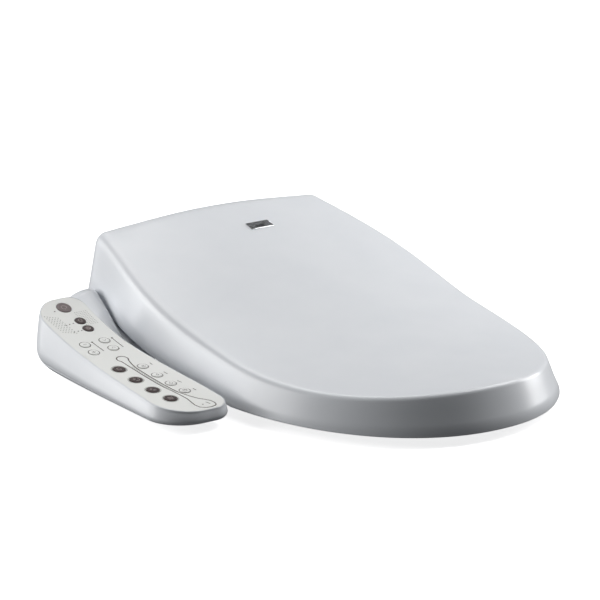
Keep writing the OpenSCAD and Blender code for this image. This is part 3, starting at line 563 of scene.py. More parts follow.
# Satin polycarbonate film, screen printed on its back: very even, faintly warm, with a fine frosting
FILM = Moulded(
    "satin_polycarbonate_film", "#f4f4f1", 0.38, 1.58, cloud_colour="#f1f2ee", grain_mm=0.9,
    grain_depth_mm=0.003,
)
# Screen-printing inks under the film
BROWN_INK = Moulded(
    "brown_screen_ink", "#3d2c29", 0.5, 1.5, cloud_colour="#48372f", grain_mm=0.8, cloud_mm=6.0,
)
GREY_INK = Moulded(
    "pale_grey_screen_ink", "#b9bab4", 0.42, 1.5, cloud_colour="#aeb0aa", grain_mm=0.8, cloud_mm=6.0,
)
PALE_INK = Moulded("pale_icon_ink", "#b9a7a5", 0.4, 1.5, cloud_colour="#c8b9b7", grain_mm=0.8, cloud_mm=4.0)
# Hard-coated key caps
BROWN_KEY = Moulded(
    "hard_coated_brown_cap", "#3a2826", 0.45, 1.5, cloud_colour="#31211f", grain_mm=1.2, cloud_mm=5.0,
    coat=0.08,
)
TAUPE_KEY = Moulded(
    "hard_coated_taupe_cap", "#7d7070", 0.45, 1.5, cloud_colour="#716464", grain_mm=1.2, cloud_mm=5.0,
    coat=0.08,
)
# Acetal and glass-filled nylon: waxy bearings and grey mechanisms
ACETAL = Moulded("natural_acetal", "#e6e4da", 0.35, 1.48, cloud_colour="#dedbcf", grain_mm=1.5)
NYLON = Moulded(
    "glass_filled_nylon", "#b7b8b9", 0.45, 1.53, cloud_colour="#abacae", grain_mm=0.7, grain_depth_mm=0.02,
)
PLATE_PP = Moulded(
    "glass_filled_polypropylene", "#d5d6d7", 0.46, 1.49, cloud_colour="#cccdcf", grain_mm=0.9,
    grain_depth_mm=0.02,
)
# Soft bumpers and rubber
SOFT_PVC = Elastomer("translucent_soft_pvc", "#dcdcda", 0.5, 1.53, bloom="#f0f0ee")
RUBBER = Elastomer("black_epdm_rubber", "#151516", 0.62, 1.52, bloom="#3c3c3c")
SILICONE = Elastomer("grey_silicone_hose", "#8f9192", 0.5, 1.43, bloom="#b0b1b1")
# Metals: bright chrome plate, nickel-plated brass, zinc-plated steel and turned stainless steel
CHROME = Metal("chrome_plate_on_abs", "#eeeff0", 0.22, surface=MetalSurface.PLATED, mark_mm=6.0)
NICKEL = Metal("nickel_plated_brass", "#d6d3cb", 0.22, surface=MetalSurface.TURNED)
ZINC = Metal("zinc_plated_steel", "#c2c5ca", 0.35, surface=MetalSurface.PLATED, mark_mm=1.5)
STAINLESS = Metal("turned_stainless_steel", "#cfcfce", 0.25, surface=MetalSurface.BRUSHED)
# Epoxy board with solder mask and pads, etched copper foil, varnished tape, carbon granules
BOARD = Patterned(
    "solder_masked_epoxy_board", "#0f4a2a", 0.35, 1.5, second="#2e7347", pitch_mm=4.0, share=0.35,
)
FOIL = Patterned(
    "etched_copper_heating_foil", "#b5683f", 0.35, 1.5, second="#7a5238", pitch_mm=6.0, share=0.38,
    metallic=0.6,
)
TAPE = Patterned(
    "varnished_transformer_tape", "#c79a2e", 0.3, 1.5, second="#b2841f", pitch_mm=9.0, share=0.42,
)
CARBON = Patterned(
    "activated_carbon_granules", "#17191a", 0.7, 1.5, second="#2b2f30", pitch_mm=1.6, share=0.4,
    relief_mm=0.5,
)


# ---- Lid ----


@dataclass(frozen=True)
class RimPoint:
    """One point of the lid's crease with what the skirt does there."""

    place: Vector
    normal: Vector
    flare: float
    low: float
    edge: float


@dataclass
class Lid:
    """The lid: a crowned top over a skirt that leans out, hung on two hinge bosses."""

    front_reach: float = 452.0
    rear_reach: float = 66.0
    half_width: float = 172.0
    nose_length: float = 244.0
    nose_power: float = 2.13
    wall: float = 3.0
    flare_front: float = 14.5
    flare_rear: float = 11.0
    skirt_front: float = 10.0
    skirt_rear: float = 60.5
    lip: float = 105.0
    corner: float = 14.0
    rear_bow: float = 6.0
    edge_front: float = 4.0
    edge_rear: float = 13.0
    crown_front: float = 6.0
    crown_rear: float = 8.7
    waist: tuple[float, ...] = (1.0, 1.0, 1.105, 0.907, 0.863)
    crease: tuple[float, ...] = (52.5, 37.4, 34.9, 101.7, 125.7)
    hinge_y: float = 36.0
    hinge_z: float = 72.0
    boss_in: float = 151.44
    boss_radius: float = 11.0
    bush_radius: float = 6.55
    bush_depth: float = 5.0
    side_steps: int = 60
    rim: list[RimPoint] = field(init=False)

    def __post_init__(self) -> None:
        """Works out the points of the crease."""
        self.rim = self.rim_points()

    @property
    def length(self) -> float:
        """Length over the crease."""
        return self.front_reach + self.rear_reach

    def along(self, y: float) -> float:
        """How far back a place is, as a share of the length."""
        return clamp((y + self.front_reach) / self.length)

    def half_at(self, t: float) -> float:
        """Half the width of the crease at a share of the length."""
        nose = self.nose_length / self.length
        if t < nose:
            return self.half_width * (1 - (1 - t / nose) ** self.nose_power) ** (1 / self.nose_power)
        return self.half_width * bezier(self.waist, (t - nose) / (1 - nose))

    def crease_z(self, y: float) -> float:
        """Height of the crease."""
        return bezier(self.crease, self.along(y))

    def top_z(self, x: float, y: float) -> float:
        """Height of the crowned top."""
        t = self.along(y)
        half = max(self.half_at(t), 1.0)
        crown = mix(self.crown_front, self.crown_rear, t) * min(half / self.half_width, 1.0)
        return self.crease_z(y) + crown * (1 - min(abs(x) / half, 1.0) ** 2)

    def skirt_low(self, y: float) -> float:
        """Height of the skirt's lower edge along the sides."""
        flat_part, lift_power = 0.4, 1.13
        lift = max(self.along(y) - flat_part, 0.0) / (1 - flat_part)
        return self.skirt_front + (self.skirt_rear - self.skirt_front) * lift**lift_power

    def skirt_at(self, y: float, z: float) -> float:
        """Half the width over the skirt at a height."""
        t = self.along(y)
        share = (self.crease_z(y) - z) / (self.crease_z(y) - self.skirt_low(y))
        return self.half_at(t) + mix(self.flare_front, self.flare_rear, t) * share

    def rim_points(self) -> list[RimPoint]:
        """The crease from the nose round the right, the rear and the left side.

        Returns:
            Its points, each with the skirt's lean, lower edge and edge rounding.
        """
        half: list[Vector] = []
        for i in range(self.side_steps + 1):
            reach = (self.length - self.corner) * (1 - math.cos(math.pi / 2 * i / self.side_steps))
            half.append(Vector((self.half_at(reach / self.length), reach - self.front_reach, 0.0)))
        middle = half[-1].x - self.corner
        corner_steps, rear_steps = 10, 12
        for i in range(1, corner_steps + 1):
            a = math.pi / 2 * i / corner_steps
            turn = Vector((math.cos(a), math.sin(a) - 1, 0.0)) * self.corner
            half.append(Vector((middle, self.rear_reach, 0.0)) + turn)
        for i in range(1, rear_steps + 1):
            u = 1 - i / rear_steps
            half.append(Vector((middle * u, self.rear_reach + self.rear_bow * (1 - u * u), 0.0)))
        outline = half + [Vector((-p.x, p.y, 0.0)) for p in half[-2:0:-1]]
        rim = []
        for i, place in enumerate(outline):
            run = outline[(i + 1) % len(outline)] - outline[i - 1]
            normal = Vector((run.y, -run.x, 0.0)).normalized()
            t = self.along(place.y)
            sideways = clamp((abs(normal.x) - 0.6) * 5) if place.y > 0 else 1.0
            rim.append(RimPoint(
                place, normal,
                mix(self.flare_front, self.flare_rear, t) * sideways,
                mix(self.lip, self.skirt_low(place.y), sideways),
                mix(self.edge_front, self.edge_rear, t),
            ))
        return rim

    def skirt_ring(self, share: float, inset: float, lift: float = 0.0) -> list[Vector]:
        """A ring on the skirt.

        Args:
            share: 0 at the lower edge, 1 where the edge rounding starts.
            inset: How far inside the outer face it lies.
            lift: How far it is raised.

        Returns:
            The ring's points.
        """
        ring = []
        for p in self.rim:
            top = self.crease_z(p.place.y) - p.edge
            lean = p.flare * p.edge / (top + p.edge - p.low)
            out = mix(p.flare, lean, share) - inset
            spot = p.place + p.normal * out
            ring.append(Vector((spot.x, spot.y, mix(p.low, top, share) + lift)))
        return ring

    def top_ring(self, share: float, drop: float) -> list[Vector]:
        """A ring on the top, drawn in towards the middle.

        Args:
            share: 1 at the edge rounding, 0 in the middle.
            drop: How far below the outer face it lies.

        Returns:
            The ring's points.
        """
        middle = Vector((0.0, self.length / 2 - self.front_reach, 0.0))
        ring = []
        for p in self.rim:
            spot = middle + (p.place - p.normal * p.edge - middle) * share
            ring.append(Vector((spot.x, spot.y, self.top_z(spot.x, spot.y) - drop)))
        return ring

    def edge_ring(self, share: float) -> list[Vector]:
        """A ring on the rounded edge, from the skirt at 0 to the top at 1."""
        low, high = self.skirt_ring(1.0, 0.0), self.top_ring(1.0, 0.0)
        ring = []
        for p, a, b in zip(self.rim, low, high):
            peak = Vector((p.place.x, p.place.y, self.crease_z(p.place.y)))
            ring.append(a * (1 - share) ** 2 + peak * 2 * share * (1 - share) + b * share**2)
        return ring

    def shell(self) -> bpy.types.Object:
        """The lid's shell with its bosses."""
        piece = Piece("lid_moulding")
        shares = [0.03, 0.15, 0.3, 0.45, 0.6, 0.72, 0.82, 0.9, 0.96, 1.0]
        lip = 1.2
        rings = [self.top_ring(s, self.wall) for s in shares]
        rings += [self.skirt_ring(1.0, self.wall), self.skirt_ring(0.5, self.wall)]
        rings += [self.skirt_ring(0.0, self.wall, lip / 2), self.skirt_ring(0.0, self.wall - lip / 2)]
        rings += [self.skirt_ring(0.0, lip), self.skirt_ring(0.0, lip * 0.3, lip * 0.3)]
        rings += [self.skirt_ring(0.0, 0.0, lip), self.skirt_ring(0.35, 0.0), self.skirt_ring(0.7, 0.0)]
        edge_steps = 8
        rings += [self.edge_ring(i / edge_steps) for i in range(edge_steps + 1)]
        rings += [self.top_ring(s, 0.0) for s in shares[-2::-1]]
        piece.skin(rings)
        for side in (-1, 1):
            reach = self.skirt_at(self.hinge_y, self.hinge_z + self.boss_radius) - 0.6 - self.boss_in
            base = Vector((side * self.boss_in, self.hinge_y, self.hinge_z))
            chamfer = 0.6
            piece.turned([
                (0.0, self.bush_depth), (self.bush_radius, self.bush_depth), (self.bush_radius, 0.0),
                (self.boss_radius - chamfer, 0.0), (self.boss_radius, chamfer), (self.boss_radius, reach),
                (0.0, reach),
            ], base, Vector((side, 0, 0)))
        return piece.close(LID_ABS, "lid", ["lid_shell"], "lid_plastic", smooth_deg=50)

    def badge(self) -> bpy.types.Object:
        """A plain plated badge: a raised frame round a dished field."""
        piece = Piece("plain_badge")
        x, y, width, depth, height = 28.0, 0.0, 30.0, 14.0, 1.2
        slope = math.atan((self.crease_z(y + 5) - self.crease_z(y - 5)) / 10)
        plan = rounded_outline([
            Corner(-width / 2, -depth / 2, 1.2), Corner(width / 2, -depth / 2, 1.2),
            Corner(width / 2, depth / 2, 1.2), Corner(-width / 2, depth / 2, 1.2),
        ], 6, 4)
        levels = [
            (0.0, -0.8), (0.0, height * 0.6), (0.5, height), (1.5, height), (2.1, height * 0.55),
            (4.0, height * 0.4),
        ]
        piece.skin([[p + Vector((0, 0, z)) for p in inwards(plan, inset)] for inset, z in levels])
        for shift in (-7.0, 0.0, 7.0):
            drop = [(0.0, 0.9), (1.1, 0.85), (1.9, 0.5), (2.2, 0.3)]
            piece.turned(
                [(0.0, height * 0.4 + 0.5), *((r, height * 0.4 + h * 0.55 - 0.1) for r, h in drop[1:])],
                Vector((shift, 0, 0)), Vector((0, 0, 1)), 24,
            )
        turn = Matrix.Rotation(slope, 4, "X")
        bmesh.ops.transform(piece.bm, matrix=turn, verts=piece.bm.verts)
        bmesh.ops.translate(piece.bm, verts=piece.bm.verts, vec=(x, y, self.top_z(x, y) + 0.3))
        return piece.close(CHROME, "lid", ["lid_badge"], "chrome_plate")


# ---- Seat ----


@dataclass
class Seat:
    """The heated ring seat: a domed shell, the ring that closes it below, and its ears and bumpers."""

    half_width: float = 173.0
    nose: float = 246.0
    back: float = 144.0
    middle: float = -208.0
    nose_power: float = 2.13
    back_power: float = 5.0
    hole_half: float = 112.0
    hole_length: float = 142.0
    hole_middle: float = -242.0
    hole_power: float = 2.3
    bridge_front: float = -122.0
    bridge_half: float = 118.0
    bridge_low: float = 29.0
    low: float = 8.0
    steps: int = 160
    section: tuple[tuple[float, float], ...] = (
        (0.0, 30.0), (0.008, 32.4), (0.028, 34.4), (0.07, 36.0), (0.14, 36.9), (0.28, 37.2), (0.45, 37.0),
        (0.62, 36.4), (0.75, 35.4), (0.86, 34.1), (0.94, 32.8), (0.98, 31.8), (0.996, 30.5), (1.0, 29.0),
    )

    def outer(self, a: float) -> Vector:
        """A point of the outer outline at an angle."""
        power = 2 / (self.nose_power if math.sin(a) < 0 else self.back_power)
        reach = self.nose if math.sin(a) < 0 else self.back
        return Vector((
            self.half_width * signed_power(math.cos(a), power),
            self.middle + reach * signed_power(math.sin(a), power), 0.0,
        ))

    def inner(self, a: float) -> Vector:
        """A point of the opening at an angle."""
        power = 2 / self.hole_power
        return Vector((
            self.hole_half * signed_power(math.cos(a), power),
            self.hole_middle + self.hole_length * signed_power(math.sin(a), power), 0.0,
        ))

    def ring(self, share: float, height: float | None) -> list[Vector]:
        """A ring between the outline and the opening.

        Args:
            share: 0 at the outline, 1 at the opening.
            height: Its height, or None for the shell's lower edge.

        Returns:
            Its points.
        """
        points = []
        for i in range(self.steps):
            a = math.tau * i / self.steps
            p = self.outer(a).lerp(self.inner(a), share)
            step_y, step_x = 14.0, 10.0
            bridge = clamp((p.y - self.bridge_front) / step_y) * clamp((self.bridge_half - abs(p.x)) / step_x)
            low = mix(self.low, self.bridge_low, bridge)
            z = low if height is None else max(height, low + 0.5)
            points.append(Vector((p.x, p.y, z)))
        return points

    def upper_shell(self) -> bpy.types.Object:
        """The domed shell, 2.5 to 3 mm thick, with a clean rounded edge."""
        piece = Piece("seat_upper_moulding")
        wall_share, wall = 0.05, 3.0
        rings = [self.ring(wall_share, None), self.ring(0.006, None)]
        rings.append([p + Vector((0, 0, 0.8)) for p in self.ring(0.0, None)])
        rings += [self.ring(u, z) for u, z in self.section]
        rings.append([p + Vector((0, 0, 0.8)) for p in self.ring(1.0, None)])
        rings += [self.ring(0.995, None), self.ring(1 - wall_share, None)]
        rings += [self.ring(u, z - wall) for u, z in self.section[-3:2:-1] if wall_share < u < 1 - wall_share]
        piece.skin(rings, joined=True)
        return piece.close(SEAT_PP, "seat", ["seat_upper_shell"], "white_polypropylene", smooth_deg=50)

    def details(self) -> None:
        """The ring that closes the shell, with its hinge ears, and the seat's bumpers."""
        softened("seat_lower_shell", SEAT_PP, "seat", 0.8)
        softened("seat_bumpers", SOFT_PVC, "seat", 1.2)
        softened("lid_bumpers", SOFT_PVC, "lid", 0.8)
        for body in ("seat", "lid"):
            softened(f"{body}_bushes", ACETAL, body, 0.3)


# ---- Control arm ----


class KeyStyle(Enum):
    """What a key looks like: its finish and the ink of its icon."""

    TAUPE = "taupe"
    BROWN = "brown"
    OUTLINED = "outlined"


Stroke = Sequence[tuple[float, float]]


def arc(
    x: float, y: float, radius: float, start_deg: float, end_deg: float, steps: int = 12
) -> list[tuple[float, float]]:
    """Points along an arc, for an icon's stroke.

    Args:
        x: Its centre across the panel.
        y: Its centre along the panel.
        radius: Its radius.
        start_deg: Where it starts.
        end_deg: Where it ends.
        steps: Its steps.

    Returns:
        The arc's points.
    """
    angles = [math.radians(mix(start_deg, end_deg, i / steps)) for i in range(steps + 1)]
    return [(x + radius * math.cos(a), y + radius * math.sin(a)) for a in angles]


@dataclass(frozen=True)
class Key:
    """One button: where it stands from the arm's outer side, its size, its looks and its icon."""

    node: str
    offset: float
    y: float
    radius: float
    style: KeyStyle
    icon: tuple[Stroke, ...]


WASH_R, SMALL_R = 6.6, 5.4
SPRAY = (((-2.6, -2.2), (-0.6, -0.4)), ((-3.2, -0.6), (-1.0, 0.4)), ((-1.2, -3.2), (0.2, -1.0)))
KEYS = (
    Key("button_power", 40, -16, 8.2, KeyStyle.TAUPE, (arc(0, 0, 3.0, 130, 410), ((0, 1.4), (0, 4.0)))),
    Key("button_water_temp", 44, -42, 6.2, KeyStyle.BROWN, (
        arc(0, -0.8, 2.1, -220, 40), ((-1.6, 0.5), (0, 3.4), (1.6, 0.5)),
    )),
    Key("button_seat_temp", 44, -57.5, 6.2, KeyStyle.BROWN, (
        arc(0, 0, 2.6, 0, 360, 24), arc(0, 0.2, 1.3, 0, 360, 16),
    )),
    Key("button_pressure_less", 21.5, -86, SMALL_R, KeyStyle.OUTLINED, (((-2.2, 0), (2.2, 0)),)),
    Key("button_pressure_more", 21, -104, SMALL_R, KeyStyle.OUTLINED, (
        ((-2.2, 0), (2.2, 0)), ((0, -2.2), (0, 2.2)),
    )),
    Key("button_position_back", 46.5, -85, SMALL_R, KeyStyle.OUTLINED, (((-2, -1), (0, 1.6), (2, -1)),)),
    Key("button_position_front", 46, -103, SMALL_R, KeyStyle.OUTLINED, (((-2, 1), (0, -1.6), (2, 1)),)),
    Key("button_pulse", 50, -153, SMALL_R, KeyStyle.OUTLINED, (
        arc(0, 0, 1.2, 0, 360), arc(0, 0, 2.6, 20, 160),
    )),
    Key("button_eco", 51, -178, SMALL_R, KeyStyle.OUTLINED, (
        arc(-1.2, 0, 2.6, -50, 50), arc(2.1, 0, 2.6, 130, 230),
    )),
    Key("button_light", 52, -202, SMALL_R, KeyStyle.OUTLINED, (
        arc(0, 0.6, 1.8, -50, 230), ((-0.9, -1.2), (0.9, -1.2)), ((-0.6, -2.1), (0.6, -2.1)),
    )),
    Key("button_child", 54.5, -224, SMALL_R, KeyStyle.OUTLINED, (
        arc(0, 0, 2.3, 0, 360, 20), arc(0, 0.2, 1.1, 200, 340),
    )),
    Key("button_stop", 23, -149, WASH_R, KeyStyle.BROWN, (((-2, -2), (2, -2), (2, 2), (-2, 2), (-2, -2)),)),
    Key("button_rear_wash", 24, -179, WASH_R, KeyStyle.BROWN, (arc(1.0, 1.2, 2.4, -60, 150), *SPRAY)),
    Key("button_front_wash", 25.5, -208, WASH_R, KeyStyle.BROWN, (arc(1.4, 1.8, 1.3, 0, 360), *SPRAY)),
    Key("button_dry", 30, -234, WASH_R, KeyStyle.BROWN, tuple(
        tuple((x, shift + 0.6 * math.sin(x * 1.5)) for x in (-2.8, -1.9, -0.9, 0.0, 0.9, 1.9, 2.8))
        for shift in (-1.8, 0.0, 1.8)
    )),
)


@dataclass
class ControlArm:
    """The arm beside the seat: casing and neck, film-covered panel with its prints, and the keys."""

    inner_x: float = -198.94
    outer_x: float = -280.54
    tip_y: float = -275.0
    bottom: float = 10.0
    panel_thick: float = 1.6
    panel_heights: tuple[float, ...] = (79.0, 40.0, 38.5, 24.0)
    panel_length: float = 272.0
    hinge_y: float = 36.0
    hinge_z: float = 72.0
    scoop: float = 38.0
    flank_x: float = -151.44
    foot_inset: float = 15.5

    def height(self, y: float) -> float:
        """Height of the panel's face."""
        return bezier(self.panel_heights, clamp(-y / self.panel_length))

    def at(self, x: float, y: float, above: float = 0.0) -> Vector:
        """A point over the panel's face, measured along its normal."""
        slope = (self.height(y + 1) - self.height(y - 1)) / 2
        return Vector((x, y, self.height(y))) + Vector((0, -slope, 1)).normalized() * above

    def casing_plan(self) -> list[Vector]:
        """The casing's outline."""
        a, b, tip = self.inner_x, self.outer_x, self.tip_y
        return rounded_outline([
            Corner(b, 1, 34), Corner(b, tip, 44), Corner(a + 3, tip, 22),
            Corner(a, -220, 200), Corner(a - 13, -90, 100), Corner(a - 13, 1, 20),
        ], 12, 22)

    def panel_plan(self) -> list[Vector]:
        """The panel's outline."""
        a, b, tip = self.inner_x, self.outer_x, self.tip_y
        return rounded_outline([
            Corner(b + 6, -1, 32), Corner(b + 6, tip + 3, 42), Corner(a, tip + 3, 20),
            Corner(a - 3, -220, 200), Corner(a - 15, -90, 100), Corner(a - 15, -1, 16),
        ], 12, 22)

    def casing(self) -> bpy.types.Object:
        """The casing's walls round the panel, and the neck to the main casing."""
        piece = Piece("arm_casing_moulding")
        plan, panel = self.casing_plan(), self.panel_plan()

        def level(inset: float, z: float) -> list[Vector]:
            """A flat ring inside the outline."""
            return [Vector((p.x, p.y, z)) for p in inwards(plan, inset)]

        def shoulder(share: float, drop: float) -> list[Vector]:
            """A ring between the outline and the panel, below the panel's face."""
            ring = [p.lerp(q, share) for p, q in zip(plan, panel)]
            return [Vector((p.x, p.y, self.height(p.y) - drop)) for p in ring]

        full_height, tuck_depth, tuck_end, tuck_power = 56.0, 15.0, 0.42, 2.2
        lean_share, lean_start, lean_power = 0.72, 0.35, 1.6

        def wall(share: float, groove: float = 0.0) -> list[Vector]:
            """A ring on the drafted wall, tucked in at the foot and leaning in to the panel above."""
            ring = []
            for p, low, q in zip(plan, inwards(plan, 1.0), panel):
                top = self.height(p.y) - drop
                tallness = min((top - self.bottom) / full_height, 1.0)
                tuck = tallness * tuck_depth * max(1 - share / tuck_end, 0.0) ** tuck_power
                lean = lean_share * clamp((share - lean_start) / (1 - lean_start)) ** lean_power
                spot = p + (low - p) * (tuck + groove) + (q - p) * lean
                ring.append(Vector((spot.x, spot.y, mix(self.bottom, top, share))))
            return ring

        drop, seam, groove = 1.6, 0.17, 0.45
        rings = [level(self.foot_inset + 2.0, self.bottom + 2.2), level(self.foot_inset, self.bottom + 0.4)]
        rings += [wall(share) for share in (0.0, 0.02, 0.05, 0.09, 0.13, seam)]
        rings += [wall(seam + 0.006, groove), wall(seam + 0.018, groove), wall(seam + 0.026)]
        rings += [wall(share) for share in (0.25, 0.32, 0.4, 0.5, 0.6, 0.7, 0.8, 0.9, 1.0)]
        turn_steps = 6
        for i in range(1, turn_steps + 1):
            a = math.pi / 2 * i / turn_steps
            rings.append(shoulder(mix(lean_share, 0.97, 1 - math.cos(a)), drop * (1 - math.sin(a)) - 0.15))
        rings += [shoulder(1.0, 0.1), shoulder(1.0, self.panel_thick)]
        rings += [shoulder(1.08, self.panel_thick), level(self.foot_inset + 4.0, self.bottom + 4.2)]
        piece.skin(rings, joined=True)
        self.neck(piece)
        return piece.close(CASING_ABS, "base", ["arm_casing"], "white_abs", smooth_deg=50)

    def neck(self, piece: Piece) -> None:
        """Adds the neck, scooped out where the lid's boss turns.

        Args:
            piece: The casing's mesh.
        """
        front, back, low, cut_y = -76.0, 60.0, 4.0, -57.0
        side = rounded_outline([
            Corner(front, low, 3), Corner(back, low, 5), Corner(back, 30, 8), Corner(48, 56, 7),
            Corner(36, 54.5, 10), Corner(-20, 42, 30), Corner(front, 30, 9),
        ], 8, 16)
        ridge = rounded_outline([
            Corner(front, low, 3), Corner(back, low, 5), Corner(back, 48, 14), Corner(50, 67, 12),
            Corner(32, 70, 16), Corner(-6, 56, 60), Corner(front, 24, 9),
        ], 8, 16)
        hinge = Vector((self.hinge_y, self.hinge_z, 0))

        def slice_at(
            x: float, outline: list[Vector], scooped: bool = False, cut: bool = False, inset: float = 0.0
        ) -> list[Vector]:
            """A slice across the neck, scooped round the hinge or cut off at the front where asked."""
            ring = []
            for p in inwards(outline, inset):
                away = p - hinge
                if scooped and away.length < self.scoop:
                    p = hinge + away.normalized() * self.scoop
                y = max(p.x, cut_y + inset) if cut else p.x
                ring.append(Vector((x, y, p.y)))
            return ring

        inside_arm = 15.5
        ridge_x, scoop_end, start = -180.0, -168.0, self.inner_x - inside_arm
        edges = ((0.0, 2.6), (0.35, 1.5), (1.1, 0.6), (2.2, 0.1), (3.4, 0.0))
        rise_steps = 10
        slope = []
        for i in range(rise_steps + 1):
            share = 0.5 - 0.5 * math.cos(math.pi * i / rise_steps)
            blend = [p.lerp(q, share) for p, q in zip(side, ridge)]
            slope.append(slice_at(mix(start, ridge_x - 4.0, i / rise_steps), blend, inset=0.6 * (1 - share)))
        face = [slice_at(ridge_x - x, ridge, inset=inset) for x, inset in reversed(edges)]
        lid, clearance = Lid(), 3.2
        rings = slope + face
        for ring in rings:
            for p in ring:
                beside = -lid.skirt_at(p.y, lid.skirt_low(p.y)) - clearance - ridge_x
                p.x += beside * clamp((p.x - start) / (ridge_x - start)) ** 2
        piece.skin(rings)
        piece.skin([
            slice_at(ridge_x - 8, side, inset=0.4), slice_at(ridge_x + 1.5, side),
            slice_at(ridge_x + 2, side, cut=True),
            slice_at(scoop_end - 1.0, side, cut=True), slice_at(scoop_end, side, cut=True, inset=0.6),
            slice_at(scoop_end, side, True, True, 0.6), slice_at(scoop_end + 0.6, side, True, True),
            slice_at(self.flank_x, side, True, True),
        ])

    def cover(self) -> bpy.types.Object:
        """The cover under the arm, set in from the rounded foot."""
        piece = Piece("arm_cover_moulding")
        plan = self.casing_plan()
        levels = ((self.foot_inset + 0.8, 0.0), (self.foot_inset + 0.3, 0.5), (self.foot_inset + 0.3, 2.0))
        piece.skin([
            [Vector((p.x, p.y, self.bottom + z)) for p in inwards(plan, inset)] for inset, z in levels
        ])
        return piece.close(GREY_ABS, "base", ["arm_cover"], "grey_abs")

    def panel(self) -> bpy.types.Object:
        """The panel plate with its curved face and a hole for every key."""
        piece = Piece("panel_film")
        clearance, cut_every = 0.3, 7.0
        plan = inwards(self.panel_plan(), 0.25)
        loops = piece.ring(plan)
        for key in KEYS:
            loops += piece.ring(circle(self.outer_x + key.offset, key.y, key.radius + clearance, 48))
        bmesh.ops.triangle_fill(piece.bm, use_beauty=True, edges=loops)
        y = self.tip_y + cut_every
        while y < 0:
            bmesh.ops.bisect_plane(
                piece.bm, geom=piece.bm.verts[:] + piece.bm.edges[:] + piece.bm.faces[:], dist=0.0001,
                plane_co=(0, y, 0), plane_no=(0, 1, 0),
            )
            y += cut_every
        bmesh.ops.recalc_face_normals(piece.bm, faces=piece.bm.faces)
        raised = bmesh.ops.extrude_face_region(piece.bm, geom=piece.bm.faces[:], use_keep_orig=True)["geom"]
        lifted = [item for item in raised if isinstance(item, bmesh.types.BMVert)]
        bmesh.ops.translate(piece.bm, verts=lifted, vec=(0, 0, self.panel_thick))
        for vert in piece.bm.verts:
            vert.co = self.at(vert.co.x, vert.co.y, vert.co.z - self.panel_thick)
        made = piece.close(FILM, "base", ["panel_plate"], "panel_film", smooth_deg=30)
        bevel = made.modifiers.new("cut edge", "BEVEL")
        bevel.width = 0.25 * MM
        bevel.segments = 2
        bevel.limit_method = "ANGLE"
        bevel.angle_limit = math.radians(50)
        bevel.harden_normals = True
        return made

    def stroke(
        self, piece: Piece, points: Stroke, width: float, place: Callable[[float, float, float], Vector]
    ) -> None:
        """Adds one printed line.

        Args:
            piece: The print's mesh.
            points: The line's path.
            width: Its width.
            place: Puts a path point at a height on the surface.
        """
        low, high = 0.02, 0.06
        rings = []
        for i, (x, y) in enumerate(points):
            before, after = points[max(i - 1, 0)], points[min(i + 1, len(points) - 1)]
            side = Vector((before[1] - after[1], after[0] - before[0])).normalized() * width / 2
            rings.append([
                place(x - side.x, y - side.y, low), place(x + side.x, y + side.y, low),
                place(x + side.x, y + side.y, high), place(x - side.x, y - side.y, high),
            ])
        piece.skin(rings)

    def dot(self, piece: Piece, x: float, y: float, radius: float) -> None:
        """Adds one printed dot."""
        normal = self.at(x, y, 1) - self.at(x, y)
        piece.turned([(0, 0.02), (radius, 0.02), (radius, 0.06), (0, 0.06)], self.at(x, y), normal, 16)

    def hoop(self, piece: Piece, key: Key, radius: float, width: float) -> None:
        """Adds one printed ring round a key."""
        x = self.outer_x + key.offset
        normal = self.at(x, key.y, 1) - self.at(x, key.y)
        profile = [
            (radius, 0.02), (radius + width, 0.02), (radius + width, 0.07), (radius, 0.07), (radius, 0.02),
        ]
        piece.turned(profile, self.at(x, key.y), normal, 40)

    def prints(self) -> None:
        """The dark and the pale prints on the film: wand outline, level bars, lamps and rings."""
        dark, pale = Piece("dark_prints"), Piece("pale_prints")
        tip = arc(-240.2, -128.9, 6.3, -50, 232, 26)
        inner = [
            (-235.9, -134.0), (-238.3, -144), (-239.3, -154), (-239.1, -164), (-238.7, -175), (-237.9, -190),
            (-237.2, -202), (-236.0, -214), (-234.2, -225), (-231.6, -231.5), (-228.9, -238), (-224.5, -246),
            (-219.6, -251), (-215.8, -256), (-214.5, -261), (-215.4, -265.5), (-218.4, -267.6),
        ]
        outer = [
            (-244.5, -134.0), (-244, -147), (-243.4, -158), (-243.2, -168), (-242.6, -181), (-242, -194),
            (-240.8, -207), (-238.6, -218), (-237.3, -226), (-236.1, -235), (-235.4, -242), (-236.2, -250),
            (-236.8, -258), (-234.9, -264.5), (-229.7, -267.8), (-223.6, -268.6), (-218.4, -267.6),
        ]
        for path in (tip, inner, outer):
            self.stroke(dark, path, 1.15, self.at)
        hatch_from, hatch_to, hatches = -150.0, -222.0, 24
        for i in range(hatches):
            y = mix(hatch_from, hatch_to, i / (hatches - 1))
            left = -243.6 + 4.4 * clamp((-y - 168) / 60) ** 1.5
            for lean in (-1.6, 1.6):
                self.stroke(pale, [(left + 0.8, y - lean), (left + 4.0, y + lean)], 0.5, self.at)
        for path in (
            [(-223.4, -83.2), (-223.3, -94), (-223.2, -104.8)],
            [(-248.7, -83.7), (-248.2, -94), (-247.7, -104.7)],
        ):
            self.stroke(dark, path, 0.8, self.at)
            self.dot(dark, path[0][0], path[0][1], 1.2)
        for key in KEYS:
            if key.style is KeyStyle.OUTLINED:
                self.hoop(dark, key, key.radius + 0.35, 0.62)
            elif key.style is KeyStyle.BROWN and key.radius >= WASH_R:
                self.hoop(dark, key, key.radius + 0.35, 0.75)
                self.hoop(pale, key, key.radius + 1.7, 0.6)
        lamps = (
            (-254, -19), (-246.5, -43.8), (-251.4, -44.3), (-256.1, -44.8), (-245.5, -58.7), (-249.9, -58.8),
            (-254.9, -59.1), (-228.3, -260),
        )
        for x, y in lamps:
            self.dot(dark, x, y, 0.8)
